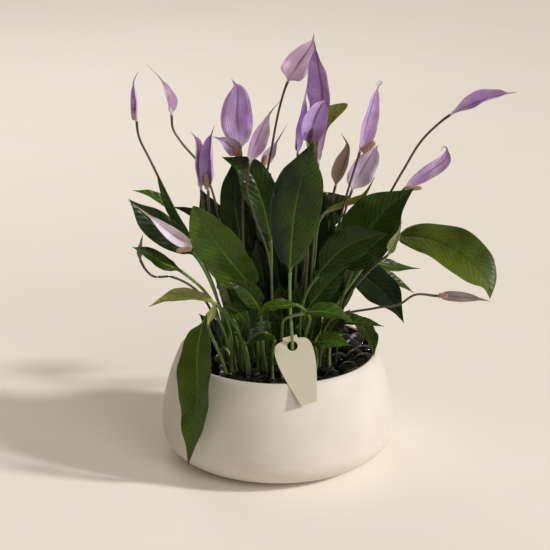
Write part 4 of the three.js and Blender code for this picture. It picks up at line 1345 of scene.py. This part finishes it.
def vein_pillows(gone, distance, size, phase):
    """The pillows between the side veins, which fade out at the midrib and at the edge."""
    turns = (gone - VEIN_SLANT * distance - VEIN_BEND * distance**2) / VEIN_SPACING
    turns = turns + 0.14 * np.sin(1.7 * turns + phase)
    pillow = 0.5 - 0.5 * np.cos(2 * math.pi * turns)
    return pillow * smooth_step(size, 0.03, 0.25) * (1 - smooth_step(size, 0.8, 1.0))


def make_blade(name, route, radius, form, chance, material, nodes, tone):
    """A blade with its cup, midrib, pillows between the veins and waved edges, as one closed skin."""
    total = route.lengths[-1] - route.start_length
    count = max(30, int(total / form["spacing"]))
    lengths = route.start_length + total * np.linspace(0, 1, count) ** 0.96
    places, along, times = route.at(lengths)
    t = np.clip((times - route.start) / (1 - route.start), 0, 1)
    gone = lengths - route.start_length
    half = half_widths(t, gone, radius, form)[:, None]
    phases = [chance.uniform(0, 6.28) for _ in range(6)]
    twist = form["twist"] * (t - 0.3) + 0.05 * np.sin(4 * t + phases[0])
    across, up = route.frames(along, twist)
    gone_by = gone[:, None]
    size = np.abs(BLADE_RING)
    out = half * BLADE_RING
    distance = half * size
    relative = half / (form["width"] / 2)

    cup = np.radians(form["cup"]) * (1 - 0.35 * smooth_step(t, 0.75, 1.0))[:, None]
    u = out * np.cos(cup * size)
    v = distance * np.sin(cup * size)
    v += form["ruffle"] * relative * size**2.2 * edge_waves(t, form["waves"], phases)
    folds = crossing_folds(gone_by, out, form["fold"], phases)
    v += form["crumple"] * folds * (0.25 + 0.75 * size) * relative
    v -= form["curl"] * half * smooth_step(size, 0.72, 1.0)
    groove = np.exp(-((distance / GROOVE_WIDTH) ** 2)) * smooth_step(gone_by, 4, 20)
    v -= form["groove"] * groove * (BLADE_SIDES > -0.5)
    v += form["pillow"] * vein_pillows(gone_by, distance, size, phases[5])

    strength = 0.25 + 0.75 * (1 - smooth_step(gone_by, 0, 0.85 * total))
    ridge = form["ridge"] * strength * np.exp(-((distance / RIDGE_WIDTH) ** 2))
    thickness = BLADE_THICKNESS * (0.5 + 0.5 * (1 - size**3))
    v += np.where(BLADE_SIDES > 0, thickness / 2, 0)
    v -= np.where(BLADE_SIDES < 0, thickness / 2 + ridge, 0)

    stalk_u, stalk_v = round_section(np.full(len(t), radius), BLADE_RING, BLADE_SIDES)
    flat = smooth_step(gone_by, 0, form["neck"])
    u = stalk_u * (1 - flat) + u * flat
    v = stalk_v * (1 - flat) + v * flat

    share = t
    if form["tail"]:
        body = 1 - form["tail"]
        in_tail = BODY_SHARE + (1 - BODY_SHARE) * (t - body) / form["tail"]
        share = np.where(t < body, BODY_SHARE * t / body, in_tail)
    around = len(BLADE_RING)
    # The tone trait adds painted light: one half of the blade is painted lighter than the other by the
    # painted light half.
    traits = {
        "along": np.repeat(gone, around),
        "share_along": np.repeat(share, around),
        "across": out.ravel(),
        "share_across": np.tile(BLADE_RING, len(t)),
        "side": np.tile(BLADE_SIDES, len(t)),
        "tone": np.tile(tone + form["painted_light_half"] * BLADE_RING, len(t)),
    }
    points = lay_rings(places, across, up, u, v)
    add_piece(name, points, skin_faces(len(t), around), material, nodes, traits)


def make_leaf(organ, number, inner=False):
    """A leaf as its blade and its petiole. An inner leaf fills the clump and stands for no node."""
    chance = random.Random(LEAF_SEED + number)
    route = Route(organ)
    tone = chance.random()
    name = organ["name"]
    form = dict(
        LEAF_FORM,
        width=organ["width"],
        cup=organ["cup"],
        twist=chance.uniform(-0.3, 0.3),
        waves=chance.uniform(1.6, 2.8),
        ruffle=organ["width"] * LEAF_RUFFLE,
        fullness=organ.get("fullness", 1),
        # How much lighter one half of the leaf is painted, standing for light falling on that side.
        painted_light_half=organ.get("painted_light_half", chance.uniform(-0.4, 0.4)),
    )
    if inner:
        form["spacing"] = INNER_SPACING
    nodes = [] if inner else [name]
    skin = LEAF_SKINS[organ["look"]]
    make_blade(name + "_blade", route, PETIOLE_RADIUS, form, chance, skin, nodes, tone)
    make_stalk(
        name + "_petiole", route, PETIOLE_RADIUS, PETIOLE_SKIN, nodes, tone,
        swell=0.14, sheath=0.4,
    )


def make_spadix(name, route, organ, nodes):
    """A knobbly spadix that rises from the end of the stalk and leans to the spathe's open side."""
    length = organ["spadix"]
    radius = organ.get("spadix_radius", SPADIX_RADIUS)
    in_front = organ.get("spadix_side", 1) > 0
    places, along, _ = route.at(np.array([route.start_length]))
    across, up = route.frames(along, np.zeros(1))
    if "lean" in organ:
        lean = np.array(organ["lean"], float)
    elif in_front:
        lean = along[0] + 0.2 * up[0]
    else:
        lean = along[0] + 0.12 * BACKWARD
    lean /= np.linalg.norm(lean)
    beside = up[0] * 0.75 if in_front else BACKWARD * 1.5
    foot = places[0] + beside * radius + lean * 1.5
    right = across[0] - lean * float(across[0] @ lean)
    right /= np.linalg.norm(right)
    front = np.cross(lean, right)
    points, knobs = [], []
    for row in range(SPADIX_ROWS):
        rise = row / (SPADIX_ROWS - 1)
        profile = math.sqrt(max(0.0, 1 - (2 * abs(rise - 0.5)) ** 5)) * (1 - 0.22 * rise)
        for i in range(SPADIX_AROUND):
            angle = 2 * math.pi * i / SPADIX_AROUND
            turn = math.pi * rise * length / KNOB_PITCH
            knob = abs(math.cos(4 * angle + turn) * math.cos(4 * angle - turn))
            reach = radius * profile * (0.66 + 0.46 * knob**1.5) + 0.02
            flat = right * math.cos(angle) + front * math.sin(angle)
            points.append(foot + lean * rise * length + flat * reach)
            knobs.append(knob)
    skin = SPADIX_SKINS[SPADIX_OF_SPATHE[organ["look"]]]
    faces = skin_faces(SPADIX_ROWS, SPADIX_AROUND)
    add_piece(name + "_spadix", points, faces, skin, nodes, {"knob": knobs})


def make_flower(organ, number):
    """A flower as its spathe, its stalk and, where it shows, its spadix."""
    chance = random.Random(FLOWER_SEED + number)
    route = Route(organ)
    tone = chance.random()
    name = organ["name"]
    form = dict(
        SPATHE_FORM,
        width=organ["width"] * organ.get("fullness", SPATHE_FULLNESS),
        cup=organ["cup"],
        tail=organ["tail"],
        twist=chance.uniform(-0.35, 0.35),
        waves=chance.uniform(1.2, 2.2),
        ruffle=organ["width"] * SPATHE_RUFFLE,
        shape=organ.get("shape", SPATHE_SHAPE),
        # How much lighter one half of the spathe is painted, standing for light falling on that side.
        painted_light_half=chance.uniform(-0.3, 0.3),
    )
    skin = SPATHE_SKINS[organ["look"]]
    radius = FLOWER_STALK_RADIUS
    make_blade(name + "_spathe", route, radius, form, chance, skin, [name], tone)
    make_stalk(
        name + "_stalk", route, radius, FLOWER_STALK_SKIN, [name], tone,
        swell=0.2, sheath=0.35,
    )
    if organ["spadix"]:
        make_spadix(name, route, organ, [name])


# Leaves inside the clump, in fans from its back to its front.
FAN_SPREAD = 26
FAN_STRAY = 9
INNER_ZONES = [
    dict(count=12, middle=(8, 36), reach=(34, 16), heights=(120, 205), widths=(28, 40)),
    dict(count=11, middle=(6, 4), reach=(42, 14), heights=(80, 150), widths=(24, 36)),
    dict(count=11, middle=(-4, -28), reach=(46, 9), heights=(40, 95), widths=(15, 24)),
    dict(count=7, middle=(8, 52), reach=(36, 5), heights=(110, 150), widths=(36, 44)),
    dict(count=3, middle=(-20, 40), reach=(16, 4), heights=(165, 200), widths=(34, 40)),
]

# A young leaf still in its sheath, in front of the leaf that hangs over the rim.
PALE_SHEATH = dict(
    name="pale_sheath", width=11, cup=40, face=(0, -1, 0.2), root=(-48, -52),
    stalk=[(-60, -60, 28), (-70, -62, 54)],
    blade=[(-72, -63, 64), (-68, -65, 76), (-64, -66, 89)],
    look="pale",
)


def make_inner_leaves():
    make_leaf(PALE_SHEATH, SHEATH_NUMBER, inner=True)
    chance = random.Random(INNER_SEED)
    number = 0
    for zone in INNER_ZONES:
        for n in range(zone["count"]):
            share = 2 * (n + 0.5) / zone["count"] - 1
            x = zone["middle"][0] + zone["reach"][0] * share
            y = zone["middle"][1] + zone["reach"][1] * chance.uniform(-1, 1)
            height = chance.uniform(*zone["heights"]) * (1 - 0.25 * abs(share))
            out = share * FAN_SPREAD + chance.uniform(-FAN_STRAY, FAN_STRAY)
            back = chance.uniform(-6, 12)
            organ = dict(
                name=f"inner_leaf_{number + 1}",
                width=chance.uniform(*zone["widths"]),
                cup=chance.uniform(8, 20),
                face=(0.35 * share + chance.uniform(-0.4, 0.4), -0.9, 0.35),
                root=(x, y),
                stalk=[(x + out * 0.2, y, height * 0.3)],
                blade=[
                    (x + out * 0.4, y + back * 0.3, height * 0.45),
                    (x + out * 0.8, y + back * 0.7, height * 0.75),
                    (x + out * 1.4, y + back, height),
                ],
                look="dark" if chance.random() < 0.75 else "mid",
            )
            make_leaf(organ, INNER_NUMBER + number, inner=True)
            number += 1


# ---- Stage

FLOOR_REACH = 6000
FLOOR_STEPS = 24
LIGHT_TARGET = (0, 0, 0.2)
KEY_SPOT = (1.75, -0.43, 1.16)
KEY_STRENGTH = 2.45
KEY_ANGLE = math.radians(7)
KEY_COLOUR = (1, 0.985, 0.965)
FILL = dict(spot=(1.2, -2.0, 1.3), size=1.3, power=16, colour=(1, 0.98, 0.96))
BACK = dict(spot=(-0.8, 1.9, 1.7), size=1.2, power=9, colour=(1, 0.98, 0.95))
ROOM_COLOUR = (240, 226, 208)
ROOM_STRENGTH = 0.32
CAMERA_LENS = 117.8
CAMERA_SENSOR = 36
CAMERA_SPOT = (0, -1.795, 0.811)
CAMERA_DIP = math.radians(18.87)
CAMERA_TURN = math.radians(0.108)


def make_floor():
    places = np.linspace(-FLOOR_REACH, FLOOR_REACH, FLOOR_STEPS + 1)
    spots = [(x, y, 0) for y in places for x in places]
    faces = []
    for j in range(FLOOR_STEPS):
        for i in range(FLOOR_STEPS):
            a = j * (FLOOR_STEPS + 1) + i
            faces.append((a, a + 1, a + FLOOR_STEPS + 2, a + FLOOR_STEPS + 1))
    mesh = bpy.data.meshes.new("floor")
    mesh.from_pydata((np.array(spots, float) * MM).tolist(), [], faces)
    mesh.materials.append(floor_material())
    floor = put_in_scene("floor", mesh)


def aim(thing, spot):
    thing.location = spot
    away = Vector(LIGHT_TARGET) - Vector(spot)
    thing.rotation_euler = away.to_track_quat("-Z", "Y").to_euler()


def make_light(name, spot, size, power, colour):
    lamp = bpy.data.lights.new(name, "AREA")
    lamp.size = size
    lamp.energy = power
    lamp.color = colour
    aim(put_in_scene(name, lamp), spot)


def make_lights():
    lamp = bpy.data.lights.new("key_light", "SUN")
    lamp.energy = KEY_STRENGTH
    lamp.angle = KEY_ANGLE
    lamp.color = KEY_COLOUR
    aim(put_in_scene("key_light", lamp), KEY_SPOT)
    make_light("fill_light", **FILL)
    make_light("back_light", **BACK)
    world = bpy.data.worlds.new("studio")
    world.use_nodes = True
    background = world.node_tree.nodes["Background"]
    background.inputs["Color"].default_value = srgb(*ROOM_COLOUR)
    background.inputs["Strength"].default_value = ROOM_STRENGTH
    bpy.context.scene.world = world


def make_camera():
    camera = bpy.data.cameras.new("camera")
    camera.lens = CAMERA_LENS
    camera.sensor_width = CAMERA_SENSOR
    camera.clip_end = 50
    holder = put_in_scene("camera", camera)
    holder.location = CAMERA_SPOT
    holder.rotation_euler = (math.pi / 2 - CAMERA_DIP, 0, CAMERA_TURN)
    bpy.context.scene.camera = holder


make_camera()
make_lights()
make_floor()
bpy.context.scene.view_settings.view_transform = "Standard"
make_pot()
make_soil()
make_pebbles()
make_tag()
for number, organ in enumerate(LEAVES):
    make_leaf(organ, number)
for number, organ in enumerate(FLOWERS):
    make_flower(organ, number)
make_inner_leaves()
